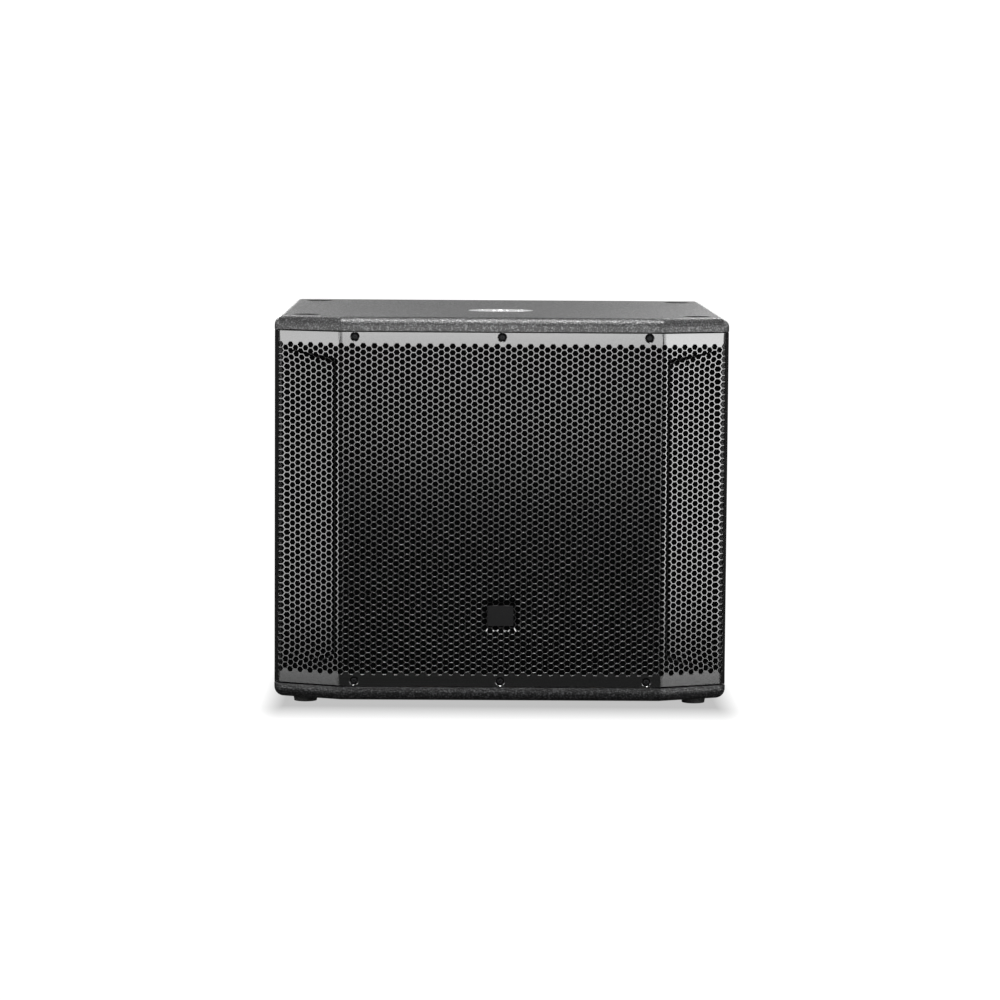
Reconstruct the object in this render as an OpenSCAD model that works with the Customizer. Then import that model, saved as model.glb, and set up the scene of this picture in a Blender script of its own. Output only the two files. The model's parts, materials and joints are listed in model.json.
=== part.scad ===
// Powered subwoofer cabinet: plywood box, folded steel grille, one large driver and a rear amplifier.
// Millimetres. +Z is up, the grille faces -Y, and the origin is on the floor under the middle.

/* [Cabinet] */
// Width across the side panels
cab_w = 597; // [585:1:610]
// Height of the wooden box, without its feet
cab_h = 504; // [500:1:520]
// Depth from the front edges to the rear edges
cab_d = 603; // [590:1:640]
// Thickness of the birch plywood
ply = 18; // [16:1:19]
// Radius of the rounded outer edges
edge_r = 13; // [8:0.5:14]
// How far the back panel sits in from the rear edges
rear_recess = 18; // [17:1:22]

/* [Grille] */
// Half of the width of the flat middle of the front
front_half = 210.5; // [205:0.5:215]
// Angle by which the side wings turn back
wing_angle = 23.3; // [18:0.1:26]
// Length of each wing, fold to fold
wing_len = 89.5; // [85:0.5:90]
// Angle of the outer returns
return_angle = 65; // [55:1:70]
// Thickness of the grille's steel
sheet_t = 1.5; // [1:0.1:2]
// How far the wooden edges stand proud of the grille
lip = 3; // [1:0.5:4]
// Depth of the pressed recess at its inner edge
press_depth = 6.2; // [3:0.1:7]

/* [Driver] */
// Outer radius of the driver's frame
frame_r = 230; // [226:1:231]
// Number of mounting bolts
bolt_count = 8; // [4:1:12]

/* [Feet and pole socket] */
// Height of the rubber feet
foot_h = 9; // [6:1:12]
// Half of the distance between the left and right feet
foot_x = 258; // [250:1:262]
// Radius of the pole socket's round plate
pole_plate_r = 44; // [40:1:48]
// Radius of the hole that is tapped M20
pole_hole_r = 8.75; // [8.5:0.05:9]

/* [Amplifier] */
// Width of the amplifier's rear plate
amp_w = 340; // [330:1:360]
// Height of the amplifier's rear plate
amp_h = 280; // [270:1:300]
// Height of the knobs above the plate
knob_h = 12; // [9:0.5:13]

/* [Hidden] */
$fn = 64;
slip = 0.1; // clearance round a screw in its hole
gap = 0.3; // clearance round a piece that moves
bottom_z = foot_h;
top_z = foot_h + cab_h;
mid_z = foot_h + cab_h / 2;
inner_w = cab_w - 2 * ply;
inner_h = cab_h - 2 * ply;
front_y = -cab_d / 2;
rear_y = cab_d / 2;
grille_y = front_y + lip;
baffle_y = grille_y + 60;
back_y = rear_y - rear_recess; // rear face of the back panel
plate_t = 3;
plate_y = back_y + plate_t; // rear face of the amplifier's plate

// Grille outline in plan, measured from the fold line of the flat middle
wing_x = front_half + wing_len * cos(wing_angle);
wing_y = wing_len * sin(wing_angle);
side_gap = 0.4;
return_dx = cab_w / 2 - side_gap - wing_x;
return_end = [cab_w / 2 - side_gap, wing_y + return_dx * tan(return_angle)];
grille_low = bottom_z + ply + 1.5;
grille_high = top_z - ply - 1.5;
screw_x = 192;
screw_z = 226; // above and below the middle
badge = [33.6, 26.3];
badge_z = bottom_z + 112.8;
badge_gap = 2.2;
dimple_r = 6.4;
dimple_depth = 3;
hem = 4.2; // depth of the turned edge along the top and the bottom

// Pressed recess in a wing: distance from the fold, half heights and width of the sloping border
press_start = 5.5;
press_low = 198;
press_rise = 13;
press_slope = 7.6;

// Driver, measured forwards from the baffle's front face
gasket_t = 1.5;
flange_t = 6.5;
bolt_r = 221;
travel = 8;
coil_r = 50;
neck_z = -84.4;
edge_z = neck_z + 92.6; // front of the cone's outer edge
gap_plate_z = -118;
gap_plate_t = 8;
magnet_t = 24;

port_leg = 105;
port_board_t = 12;
port_len = 190;

cup_r = 17;
cup_wall = 2.5;
foot_ys = [grille_y + 65, grille_y + 534];
pole_y = grille_y + 226;
pole_plate_t = 3;

handle_y = grille_y + 285;
handle_z = mid_z + 30;
handle = [178, 112];
pocket = [150, 84];
pocket_depth = 52;
handle_lip = 26;

// Places on the amplifier's plate: across and above its middle
amp_z = mid_z - 6;
row_a = 22;
row_b = -30;
row_power = -98;
input_x = -5;
gain_x = 55;
output_x = 112;
display_at = [25, 102];
display = [78, 34];
encoder_at = [112, 102];
button_xs = [-2, 25, 52];
button_z = 68;
button = [14, 7];
led_xs = [92, 104, 116, 128];
rocker_at = [125, row_power];
rocker_tilt = 8;
tub_depth = 112;
sink_x = -98;
sink = [96, 232];
flange = [26, 31];
shell_r = 11.8;

// ---- Shared shapes ----

module rounded_rect(size, r) {
  square([size[0] - 2 * r, size[1]], center = true);
  square([size[0], size[1] - 2 * r], center = true);
  for (x = [-1, 1], y = [-1, 1])
    translate([x * (size[0] / 2 - r), y * (size[1] / 2 - r)]) circle(r);
}

// Local Z points forwards, local Y points up
module facing_front(x, y, z) {
  translate([x, y, z]) rotate([90, 0, 0]) children();
}

// Local Z points backwards; across and up are given on the amplifier's plate
module on_plate(at) {
  translate([at[0], plate_y, amp_z + at[1]]) rotate([-90, 0, 0]) children();
}

module box(low, high) {
  translate(low) cube(high - low);
}

module pan_screw(head_r, head_h, shaft_r, shaft_l, drive_r) {
  difference() {
    union() {
      cylinder(r = head_r, h = head_h);
      translate([0, 0, -shaft_l]) cylinder(r = shaft_r, h = shaft_l + 0.5);
    }
    translate([0, 0, head_h * 0.35]) cylinder(r = drive_r, h = head_h, $fn = 6);
  }
}

// ---- Wooden box ----

lip_half = front_half + lip * tan(wing_angle / 2);
corner_y = front_y + (cab_w / 2 - edge_r - lip_half) * tan(wing_angle) + edge_r / cos(wing_angle);
ball_places = [
  [lip_half - edge_r * tan(wing_angle / 2), front_y + edge_r],
  [cab_w / 2 - edge_r, corner_y],
  [cab_w / 2 - edge_r, rear_y - edge_r]
];

// A panel with the plan of the box, its outer edges rounded on the upper side only
module outline_panel() {
  hull() for (side = [-1, 1], p = ball_places) translate([side * p[0], p[1], 0]) {
    cylinder(r = edge_r, h = ply - edge_r, $fn = 48);
    translate([0, 0, ply - edge_r]) rotate_extrude($fn = 48) intersection() {
      circle(edge_r, $fn = 48);
      square(edge_r);
    }
  }
}

module top_panel() {
  color("dimgray") translate([0, 0, top_z - ply]) difference() {
    outline_panel();
    translate([0, pole_y, ply - pole_plate_t]) cylinder(r = pole_plate_r + slip, h = ply);
    translate([0, pole_y, -1]) cylinder(r = 24 + slip, h = ply + 2);
    for (a = [45:90:315]) rotate_about_pole(a) translate([34, 0, -1]) cylinder(r = 2.5 + slip, h = ply);
    for (x = [-1, 1], y = foot_ys) translate([x * foot_x, y, ply - 7])
      cylinder(r = cup_r + cup_wall + slip, h = ply);
  }
}

module rotate_about_pole(a) {
  translate([0, pole_y, 0]) rotate([0, 0, a]) children();
}

module bottom_panel() {
  color("dimgray") translate([0, 0, bottom_z + ply]) mirror([0, 0, 1]) difference() {
    outline_panel();
    for (x = [-1, 1], y = foot_ys) translate([x * foot_x, y, 4]) cylinder(r = 2.5 + slip, h = ply);
  }
}

// The right-hand side panel; the left one is its mirror image
module side_panel() {
  side_front = grille_y + return_end[1] + 1.5;
  translate([0, 0, bottom_z + ply]) difference() {
    linear_extrude(inner_h) intersection() {
      translate([inner_w / 2, side_front]) square([ply, rear_y - side_front]);
      union() {
        translate([0, side_front - 1]) square([cab_w, rear_y - edge_r - side_front + 1]);
        translate([0, rear_y - edge_r - 1]) square([cab_w / 2 - edge_r, edge_r + 1]);
        translate([cab_w / 2 - edge_r, rear_y - edge_r]) circle(edge_r);
      }
    }
    at_handle(-bottom_z - ply) {
      translate([0, 0, -3 - slip]) linear_extrude(10) rounded_rect(handle + [2 * slip, 2 * slip], 12);
      translate([0, 0, -30]) linear_extrude(40) rounded_rect(pocket + [8, 8], 10);
      handle_screw_places() translate([0, 0, -ply - 1]) cylinder(r = 2 + slip, h = ply + 2);
    }
  }
}

// Local Z points out of the right-hand side, local Y up
module at_handle(dz = 0) {
  translate([cab_w / 2, handle_y, handle_z + dz]) rotate([90, 0, 90]) children();
}

module handle_screw_places() {
  for (x = [-1, 1], y = [-1, 1])
    translate([x * (handle[0] / 2 - 6.5), y * (handle[1] / 2 - 6.5), 0]) children();
}

module right_side_panel() {
  color("dimgray") side_panel();
}

module left_side_panel() {
  color("dimgray") mirror([1, 0, 0]) side_panel();
}

module back_panel() {
  color("dimgray") difference() {
    box([-inner_w / 2, back_y - ply, bottom_z + ply], [inner_w / 2, back_y, top_z - ply]);
    translate([0, back_y, amp_z]) rotate([90, 0, 0]) linear_extrude(80, center = true)
      rounded_rect([amp_w - 34, amp_h - 34], 6);
    amp_screw_places() cylinder(r = 2 + slip, h = 80, center = true);
  }
}

module corner_places() {
  for (x = [-1, 1], z = [-1, 1]) translate([x * inner_w / 2, 0, mid_z + z * inner_h / 2])
    scale_sign(-x, -z) children();
}

module scale_sign(x, z) {
  mirror([x < 0 ? 1 : 0, 0, 0]) mirror([0, 0, z < 0 ? 1 : 0]) children();
}

// Extrudes a shape drawn across and up along the depth, from y0 to y1
module along_depth(y0, y1) {
  translate([0, y1, 0]) rotate([90, 0, 0]) linear_extrude(y1 - y0) children();
}

module front_baffle() {
  color("#222222") difference() {
    box([-inner_w / 2, baffle_y, bottom_z + ply], [inner_w / 2, baffle_y + ply, top_z - ply]);
    facing_front(0, baffle_y, mid_z) translate([0, 0, -ply - 1]) {
      cylinder(r = 211, h = ply + 2, $fn = 128);
      bolt_places() cylinder(r = 3.2, h = ply + 2);
    }
    corner_places() along_depth(baffle_y - 1, baffle_y + ply + 1)
      polygon([[6, 6], [port_leg - 14, 6], [6, port_leg - 14]]);
  }
}

module port_boards() {
  far = port_leg + port_board_t * sqrt(2);
  color("#2a2a2a") corner_places() along_depth(baffle_y + ply, baffle_y + ply + port_len)
    polygon([[port_leg, 0], [far, 0], [0, far], [0, port_leg]]);
}

module window_brace() {
  brace_y = baffle_y + ply + port_len + 108;
  window = [215, 175];
  color("burlywood") difference() {
    box([-inner_w / 2, brace_y, bottom_z + ply], [inner_w / 2, brace_y + 15, top_z - ply]);
    for (x = [-1, 1], z = [-1, 1]) translate([x * 130, brace_y + 20, mid_z + z * 105]) rotate([90, 0, 0])
      linear_extrude(30) rounded_rect(window, 25);
  }
}

module grille_battens() {
  color("#2a2a2a") difference() {
    for (z = [bottom_z + ply, top_z - ply - 16])
      box([-202, grille_y + dimple_depth + sheet_t + slip, z], [202, grille_y + 26, z + 16]);
    grille_screw_places() cylinder(r = 2.5 + slip, h = 60, center = true);
  }
}

module damping_pads() {
  pad = 20;
  pad_front = back_y - ply - 120;
  pad_back = back_y - ply - 3;
  color("gray") {
    for (z = [bottom_z + ply, top_z - ply - pad])
      box([-inner_w / 2 + pad, pad_front, z], [inner_w / 2 - pad, pad_back, z + pad]);
    for (x = [-inner_w / 2, inner_w / 2 - pad])
      box([x, pad_front, bottom_z + ply], [x + pad, pad_back, top_z - ply]);
  }
}

// ---- Grille ----

function miter(a, b, t) = ([-sin(a), cos(a)] + [-sin(b), cos(b)]) * t / (1 + cos(b - a));

// Right half of the plan line, moved inwards by t
function half_line(t) = [
  [front_half, 0] + miter(0, wing_angle, t),
  [wing_x, wing_y] + miter(wing_angle, return_angle, t),
  return_end + [-sin(return_angle), cos(return_angle)] * t
];

function flipped(line) = [for (i = [len(line) - 1:-1:0]) [-line[i][0], line[i][1]]];

function backwards(line) = [for (i = [len(line) - 1:-1:0]) line[i]];

// Band between two depths behind the grille's face, along the middle and the wings
module band(t0, t1, with_returns) {
  last = with_returns ? 2 : 1;
  near = [for (i = [0:last]) half_line(t0)[i]];
  far = [for (i = [0:last]) half_line(t1)[i]];
  polygon(concat(flipped(near), near, backwards(far), backwards(flipped(far))));
}

module grille_screw_places() {
  for (x = [-screw_x, 0, screw_x], z = [-screw_z, screw_z]) facing_front(x, grille_y, mid_z + z) children();
}

// In a wing: local X runs from the fold outwards, local Y inwards, Z up from the middle
module in_wing(side) {
  mirror([side < 0 ? 1 : 0, 0, 0]) translate([front_half, grille_y, mid_z]) rotate([0, 0, wing_angle])
    children();
}

module press_outline() {
  polygon([
    [press_start, -press_low], [wing_len, -press_low - press_rise],
    [wing_len, press_low + press_rise], [press_start, press_low]
  ]);
}

// The pressed recess: a flat facet that starts deep at the fold and runs out at the outer edge
module press_shell() {
  deep = press_start + press_slope;
  high = press_low - press_slope + press_rise * 0.1;
  ring = [
    [press_start, 0, -press_low], [press_start, 0, press_low],
    [wing_len, 0, press_low + press_rise], [wing_len, 0, -press_low - press_rise],
    [deep, press_depth, -high], [deep, press_depth, high]
  ];
  behind = [for (p = ring) p + [0, sheet_t, 0]];
  polyhedron(
    points = concat(ring, behind),
    faces = [
      [1, 5, 4, 0], [2, 5, 1], [4, 5, 2], [3, 4, 2], [0, 4, 3],
      [6, 10, 11, 7], [7, 11, 8], [8, 11, 10], [8, 10, 9], [9, 10, 6],
      [0, 6, 7, 1], [1, 7, 8, 2], [2, 8, 9, 3], [3, 9, 6, 0]
    ]
  );
}

module grille() {
  color("#303030") {
    difference() {
      union() {
        translate([0, grille_y, grille_low]) linear_extrude(grille_high - grille_low)
          band(0, sheet_t, true);
        for (z = [grille_low, grille_high - sheet_t])
          translate([0, grille_y, z]) linear_extrude(sheet_t) band(0.5, hem, false);
        grille_screw_places() translate([0, 0, -dimple_depth - sheet_t])
          cylinder(r1 = 5.2 + sheet_t, r2 = dimple_r + sheet_t, h = dimple_depth + sheet_t);
        box(
          [-badge[0] / 2 - badge_gap - sheet_t, grille_y, badge_z - badge[1] / 2 - badge_gap - sheet_t],
          [badge[0] / 2 + badge_gap + sheet_t, grille_y + 4, badge_z + badge[1] / 2 + badge_gap + sheet_t]
        );
      }
      grille_screw_places() {
        translate([0, 0, -dimple_depth]) cylinder(r1 = 5.2, r2 = dimple_r, h = dimple_depth + 0.01);
        cylinder(r = 2.8, h = 40, center = true);
      }
      box(
        [-badge[0] / 2 - badge_gap, grille_y - 1, badge_z - badge[1] / 2 - badge_gap],
        [badge[0] / 2 + badge_gap, grille_y + 2.5, badge_z + badge[1] / 2 + badge_gap]
      );
      for (side = [-1, 1]) in_wing(side) rotate([90, 0, 0])
        linear_extrude(20, center = true) press_outline();
    }
    for (side = [-1, 1]) in_wing(side) press_shell();
  }
}

module grille_foam() {
  low = bottom_z + ply + 20;
  color("#181818") translate([0, grille_y, low]) linear_extrude(cab_h - 2 * ply - 40)
    band(9.2, 15.2, false);
}

module grille_screws() {
  color("#101010") grille_screw_places() translate([0, 0, -dimple_depth]) pan_screw(4.4, 2.7, 2.5, 18, 1.7);
}

module badge() {
  color("#1c1c1c") translate([0, grille_y + 2.5, badge_z]) rotate([90, 0, 0])
    linear_extrude(2.2) rounded_rect(badge, 1.2);
}

// ---- Top and bottom fittings ----

module pole_socket() {
  color("silver") translate([0, pole_y, top_z]) difference() {
    union() {
      translate([0, 0, -pole_plate_t]) cylinder(r = pole_plate_r, h = pole_plate_t);
      translate([0, 0, -46]) cylinder(r = 24, h = 44);
    }
    translate([0, 0, -40]) cylinder(r = pole_hole_r, h = 50);
    translate([0, 0, -1.5]) cylinder(r1 = pole_hole_r, r2 = pole_hole_r + 1.5, h = 1.51);
    for (a = [45:90:315]) rotate([0, 0, a]) translate([34, 0, 0]) {
      translate([0, 0, -10]) cylinder(r = 2.5 + slip, h = 20);
      translate([0, 0, -2.4]) cylinder(r1 = 2.5 + slip, r2 = 5, h = 2.41);
    }
  }
}

module pole_socket_screws() {
  color("gainsboro") for (a = [45:90:315]) translate([0, 0, top_z]) rotate_about_pole(a)
    translate([34, 0, 0]) difference() {
      union() {
        translate([0, 0, -2.4]) cylinder(r1 = 2.5, r2 = 4.85, h = 2.3);
        translate([0, 0, -16]) cylinder(r = 2.5, h = 14);
      }
      translate([0, 0, -1.5]) cylinder(r = 1.6, h = 3, $fn = 6);
    }
}

module stacking_cups() {
  color("#1a1a1a") for (x = [-1, 1], y = foot_ys) translate([x * foot_x, y, top_z - 7]) difference() {
    cylinder(r = cup_r + cup_wall, h = 7);
    translate([0, 0, 2]) difference() {
      cylinder(r = cup_r, h = 10);
      translate([0, 0, -1]) cylinder(r = 2, h = 5.8);
    }
  }
}

module rubber_feet() {
  color("#141414") for (x = [-1, 1], y = foot_ys) translate([x * foot_x, y, 0]) difference() {
    union() {
      cylinder(r1 = 15, r2 = 16.2, h = foot_h - 2);
      translate([0, 0, foot_h - 2]) cylinder(r = 16.2, h = 2);
    }
    translate([0, 0, -1]) cylinder(r = 6, h = foot_h - 2);
    cylinder(r = 2.5 + slip, h = foot_h + 1);
  }
}

module foot_screws() {
  color("silver") for (x = [-1, 1], y = foot_ys) translate([x * foot_x, y, foot_h - 3])
    mirror([0, 0, 1]) pan_screw(4.8, 2.8, 2.5, 15, 1.8);
}

// The right-hand pocket handle: a rimmed tub that is hollow upwards behind the panel for the fingers
module handle_tub() {
  wall = 3;
  at_handle() difference() {
    union() {
      translate([0, 0, -3]) linear_extrude(3) rounded_rect(handle, 12);
      translate([0, 0, -pocket_depth - wall]) linear_extrude(pocket_depth)
        rounded_rect(pocket + [2 * wall, 2 * wall], 9);
      translate([0, handle_lip / 2, -pocket_depth - wall]) linear_extrude(pocket_depth + wall - ply - 1)
        rounded_rect([pocket[0] + 2 * wall, pocket[1] + 2 * wall + handle_lip], 9);
    }
    translate([0, 0, -pocket_depth]) linear_extrude(pocket_depth + 5) rounded_rect(pocket, 7);
    translate([0, handle_lip / 2, -pocket_depth]) linear_extrude(pocket_depth - ply - 1 - wall)
      rounded_rect([pocket[0], pocket[1] + handle_lip], 7);
    handle_screw_places() {
      cylinder(r = 2 + slip, h = 20, center = true);
      translate([0, 0, -2]) cylinder(r = 4, h = 3);
    }
  }
}

module right_handle() {
  color("#1a1a1a") handle_tub();
}

module left_handle() {
  color("#1a1a1a") mirror([1, 0, 0]) handle_tub();
}

module handle_screws() {
  color("#0f0f0f") for (side = [0, 1]) mirror([side, 0, 0]) at_handle()
    handle_screw_places() translate([0, 0, -2]) pan_screw(3.6, 1.9, 2, 14, 1.3);
}

// ---- Driver ----

module in_driver() {
  facing_front(0, baffle_y, mid_z) children();
}

module bolt_places() {
  for (i = [0:bolt_count - 1]) rotate([0, 0, (i + 0.5) * 360 / bolt_count])
    translate([bolt_r, 0, 0]) children();
}

module ring(r0, r1, z0, z1) {
  translate([0, 0, z0]) difference() {
    cylinder(r = r1, h = z1 - z0, $fn = 128);
    translate([0, 0, -1]) cylinder(r = r0, h = z1 - z0 + 2, $fn = 128);
  }
}

module woofer_gasket() {
  color("#111111") in_driver() difference() {
    ring(212, frame_r - 1, 0, gasket_t);
    bolt_places() cylinder(r = 3.2, h = 10, center = true);
  }
}

module woofer_basket() {
  spokes = 8;
  color("#3a3a3a") in_driver() difference() {
    rotate_extrude($fn = 128) polygon([
      [203, gasket_t + flange_t], [frame_r, gasket_t + flange_t], [frame_r, gasket_t], [209.5, gasket_t],
      [209.5, -14], [126, -104], [112, -107], [112, gap_plate_z], [62, gap_plate_z], [62, -110],
      [106, -110], [106, -101], [122, -97], [203, -10]
    ]);
    bolt_places() cylinder(r = 3.2, h = 40, center = true);
    for (i = [0:spokes - 1]) rotate([0, 0, i * 360 / spokes])
      translate([165, 0, -55]) cube([60, 92, 120], center = true);
  }
}

module woofer_bolts() {
  color("silver") in_driver() bolt_places() translate([0, 0, gasket_t + flange_t])
    pan_screw(5, 5, 3, 24, 2.5);
}

module magnet_front_plate() {
  color("dimgray") in_driver() ring(coil_r + 2.6, 104, gap_plate_z - gap_plate_t, gap_plate_z);
}

module magnet_ring() {
  top = gap_plate_z - gap_plate_t;
  color("#262626") in_driver() ring(62, 112, top - magnet_t, top);
}

module magnet_back_plate() {
  top = gap_plate_z - gap_plate_t - magnet_t;
  color("dimgray") in_driver() difference() {
    union() {
      translate([0, 0, top - 9]) cylinder(r = 104, h = 9, $fn = 128);
      translate([0, 0, top - 1]) cylinder(r = coil_r - 0.6, h = gap_plate_z - top + 4);
    }
    translate([0, 0, top - 20]) cylinder(r = 16, h = 80);
  }
}

module cone() {
  wall = 1.6;
  color("#1b1b1b") in_driver() rotate_extrude($fn = 128) polygon([
    [coil_r + 0.5, neck_z], [coil_r + 1.6, neck_z - 2], [95, neck_z + 33], [150, neck_z + 68],
    [186, edge_z - wall], [193, edge_z - wall], [193, edge_z], [185, edge_z],
    [148.8, neck_z + 68 + wall], [94, neck_z + 33 + wall], [coil_r + 0.5, neck_z + 1.4]
  ]);
}

module dust_cap() {
  rim = 76;
  rise = 17;
  sphere_r = (rim * rim + rise * rise) / (2 * rise);
  base = neck_z + 21;
  color("#141414") in_driver() translate([0, 0, base]) intersection() {
    difference() {
      translate([0, 0, rise - sphere_r]) sphere(sphere_r, $fn = 128);
      translate([0, 0, rise - sphere_r]) sphere(sphere_r - 1.5, $fn = 128);
    }
    cylinder(r = rim, h = 40);
  }
}

module coil_former() {
  color("peru") in_driver() ring(coil_r, coil_r + 0.4, -138, neck_z + 1);
}

module voice_coil() {
  color("goldenrod") in_driver() ring(coil_r + 0.4, coil_r + 1.6, -132, -112);
}

// Two half rolls between the cone's edge and the frame
module surround() {
  inner = 189.5;
  roll = 5;
  skin = 1.2;
  color("#0e0e0e") in_driver() rotate_extrude($fn = 128) {
    translate([inner, edge_z]) square([4, skin]);
    for (i = [0, 1]) translate([inner + 2.8 + roll + i * (2 * roll - skin), edge_z]) difference() {
      circle(roll, $fn = 48);
      circle(roll - skin, $fn = 48);
      translate([-10, -20]) square(20);
    }
    translate([inner + 20.4, edge_z]) square([5, skin]);
  }
}

// A corrugated disc that centres the coil
module spider() {
  color("tan") in_driver() rotate_extrude($fn = 128) {
    translate([coil_r + 0.6, -97]) square([4, 1]);
    for (i = [0:3]) translate([coil_r + 9.6 + i * 11, -97]) difference() {
      circle(6, $fn = 48);
      circle(5, $fn = 48);
      translate([-10, i % 2 == 0 ? -20 : 0]) square(20);
    }
    translate([98.5, -97]) square([22, 1]);
  }
}

module terminal_strip() {
  color("#303030") in_driver() translate([0, 160, -64]) {
    cube([91.8, 6, 20], center = true);
    for (x = [-18, 18]) translate([x, 5, 0]) cube([12, 6, 14], center = true);
  }
}

// ---- Cables ----

function unit(v) = v / norm(v);

// Rings of points along a route, with a fixed side direction
function tube_points(route, r, sides, side) = [
  for (i = [0:len(route) - 1])
    let (
      a = route[max(i - 1, 0)], b = route[min(i + 1, len(route) - 1)],
      along = unit(b - a), u = unit(cross(along, side)), v = cross(u, along)
    )
    for (k = [0:sides - 1]) route[i] + r * (cos(360 * k / sides) * u + sin(360 * k / sides) * v)
];

module tube(route, r, sides, side) {
  n = len(route);
  polyhedron(
    points = tube_points(route, r, sides, side),
    faces = concat(
      [[for (k = [sides - 1:-1:0]) k]],
      [for (i = [0:n - 2], k = [0:sides - 1])
        [i * sides + k, i * sides + (k + 1) % sides, (i + 1) * sides + (k + 1) % sides, (i + 1) * sides + k]],
      [[for (k = [0:sides - 1]) (n - 1) * sides + k]]
    )
  );
}

module tinsel_leads() {
  color("peru") in_driver() for (t = [-7, 7]) rotate([0, 0, 90 + t])
    tube([[53, 0, -88.5], [64, 0, -87], [80, 0, -84], [100, 0, -78], [120, 0, -72], [140, 0, -66], [158, 0, -62]],
      1, 8, [0, 1, 0]);
}

module speaker_cable() {
  color("#101010") translate([0, 0, mid_z])
    tube([[18, baffle_y + 64, 171.5], [22, baffle_y + 80, 171], [34, baffle_y + 110, 166],
      [55, baffle_y + 160, 155], [78, baffle_y + 220, 142], [95, baffle_y + 290, 125],
      [100, baffle_y + 340, 106], [98, baffle_y + 380, 88], [96, back_y - tub_depth - 2.4, 78]],
      3, 10, [1, 0, 0]);
}

// ---- Amplifier ----

module amp_screw_places() {
  for (z = [-1, 1], x = [-1, -1 / 3, 1 / 3, 1])
    on_plate([x * (amp_w / 2 - 8), z * (amp_h / 2 - 8)]) children();
  for (x = [-1, 1]) on_plate([x * (amp_w / 2 - 8), 0]) children();
}

module flange_screw_places() {
  for (s = [-1, 1]) translate([s * 9.5, s * 12, 0]) children();
}

module socket_places(xs, rows) {
  for (x = xs, z = rows) on_plate([x, z]) children();
}

module amp_plate() {
  color("#1d1d1d") difference() {
    translate([0, plate_y, amp_z]) rotate([90, 0, 0]) linear_extrude(plate_t)
      rounded_rect([amp_w, amp_h], 6);
    amp_screw_places() cylinder(r = 2 + slip, h = 20, center = true);
    socket_places([input_x, output_x], [row_a, row_b]) cylinder(r = shell_r + slip, h = 20, center = true);
    socket_places([input_x, input_x + 56], [row_power]) cylinder(r = shell_r + slip, h = 20, center = true);
    socket_places([gain_x], [row_a, row_b]) cylinder(r = 4 + slip, h = 20, center = true);
    on_plate(encoder_at) cylinder(r = 4 + slip, h = 20, center = true);
    on_plate(rocker_at) cube([28.2, 20.2, 20], center = true);
    on_plate(display_at) cube([display[0], display[1], 20], center = true);
    for (x = button_xs) on_plate([x, button_z])
      cube([button[0] + 2 * gap, button[1] + 2 * gap, 20], center = true);
    for (x = led_xs) on_plate([x, button_z]) cylinder(r = 1.6, h = 20, center = true);
    on_plate([sink_x, 0]) cube([sink[0] + 2, sink[1] + 2, 20], center = true);
    socket_places([input_x, output_x], [row_a, row_b]) flange_screw_places()
      cylinder(r = 1.5 + slip, h = 20, center = true);
    socket_places([input_x, input_x + 56], [row_power]) flange_screw_places()
      cylinder(r = 1.5 + slip, h = 20, center = true);
  }
}

module amp_tub() {
  tub = [amp_w - 36, amp_h - 36];
  color("silver") translate([0, back_y, amp_z]) rotate([90, 0, 0]) difference() {
    linear_extrude(tub_depth) rounded_rect(tub, 5);
    translate([0, 0, -1]) linear_extrude(tub_depth - 0.5) rounded_rect(tub - [3, 3], 4);
  }
}

module amp_screws() {
  color("#0f0f0f") {
    amp_screw_places() pan_screw(3.8, 2.2, 2, 16, 1.4);
    socket_places([input_x, output_x], [row_a, row_b]) flange_screw_places()
      translate([0, 0, 2]) pan_screw(2.6, 1.6, 1.5, 8, 1);
    socket_places([input_x, input_x + 56], [row_power]) flange_screw_places()
      translate([0, 0, 2]) pan_screw(2.6, 1.6, 1.5, 8, 1);
  }
}

module heat_sink() {
  fins = 11;
  fin_t = 2.4;
  pitch = (sink[0] - fin_t) / (fins - 1);
  color("#191919") on_plate([sink_x, 0]) {
    translate([0, 0, -plate_t - 3]) cube([sink[0] + 7, sink[1] + 4, 6], center = true);
    for (i = [0:fins - 1]) translate([-sink[0] / 2 + fin_t / 2 + i * pitch, 0, 3.5])
      cube([fin_t, sink[1], 15], center = true);
  }
}

module amplifier_board() {
  board_y = back_y - 95;
  color("darkgreen") box([-140, board_y, amp_z - 105], [140, board_y + 1.6, amp_z + 105]);
  color("#222244") for (x = [-50, -10, 30], z = [-60, 40])
    translate([x, board_y + 1.6, amp_z + z]) rotate([-90, 0, 0]) cylinder(r = 12, h = 34);
  color("goldenrod") translate([95, board_y + 1.6, amp_z + 20]) rotate([-90, 0, 0]) ring(12, 30, 0, 22);
  color("#222222") box([70, board_y + 1.6, amp_z - 85], [120, board_y + 36, amp_z - 40]);
}

module socket_body(depth) {
  translate([0, 0, 0]) linear_extrude(2) rounded_rect(flange, 3);
  translate([0, 0, -depth]) cylinder(r = shell_r, h = depth + 0.5);
}

module flange_holes() {
  flange_screw_places() cylinder(r = 1.5 + slip, h = 20, center = true);
}

latch_y = -8.8; // above the middle of the socket, because local Y points down
latch = [7, 4];
latch_h = 5;

// Combined input sockets: a jack bore in the middle, three contact holes round it and a latch slot
module input_sockets() {
  color("#232323") for (z = [row_a, row_b]) on_plate([input_x, z]) difference() {
    union() {
      socket_body(22);
      cylinder(r = 10.6, h = 4);
    }
    translate([0, 0, -18]) cylinder(r = 3.3, h = 40);
    for (a = [30, 150, 270]) rotate([0, 0, a]) translate([6.4, 0, -12]) cylinder(r = 1.5, h = 40);
    translate([0, latch_y, 0]) cube([latch[0] + 2 * gap, latch[1] + 2 * gap, 14], center = true);
    flange_holes();
  }
}

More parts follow.
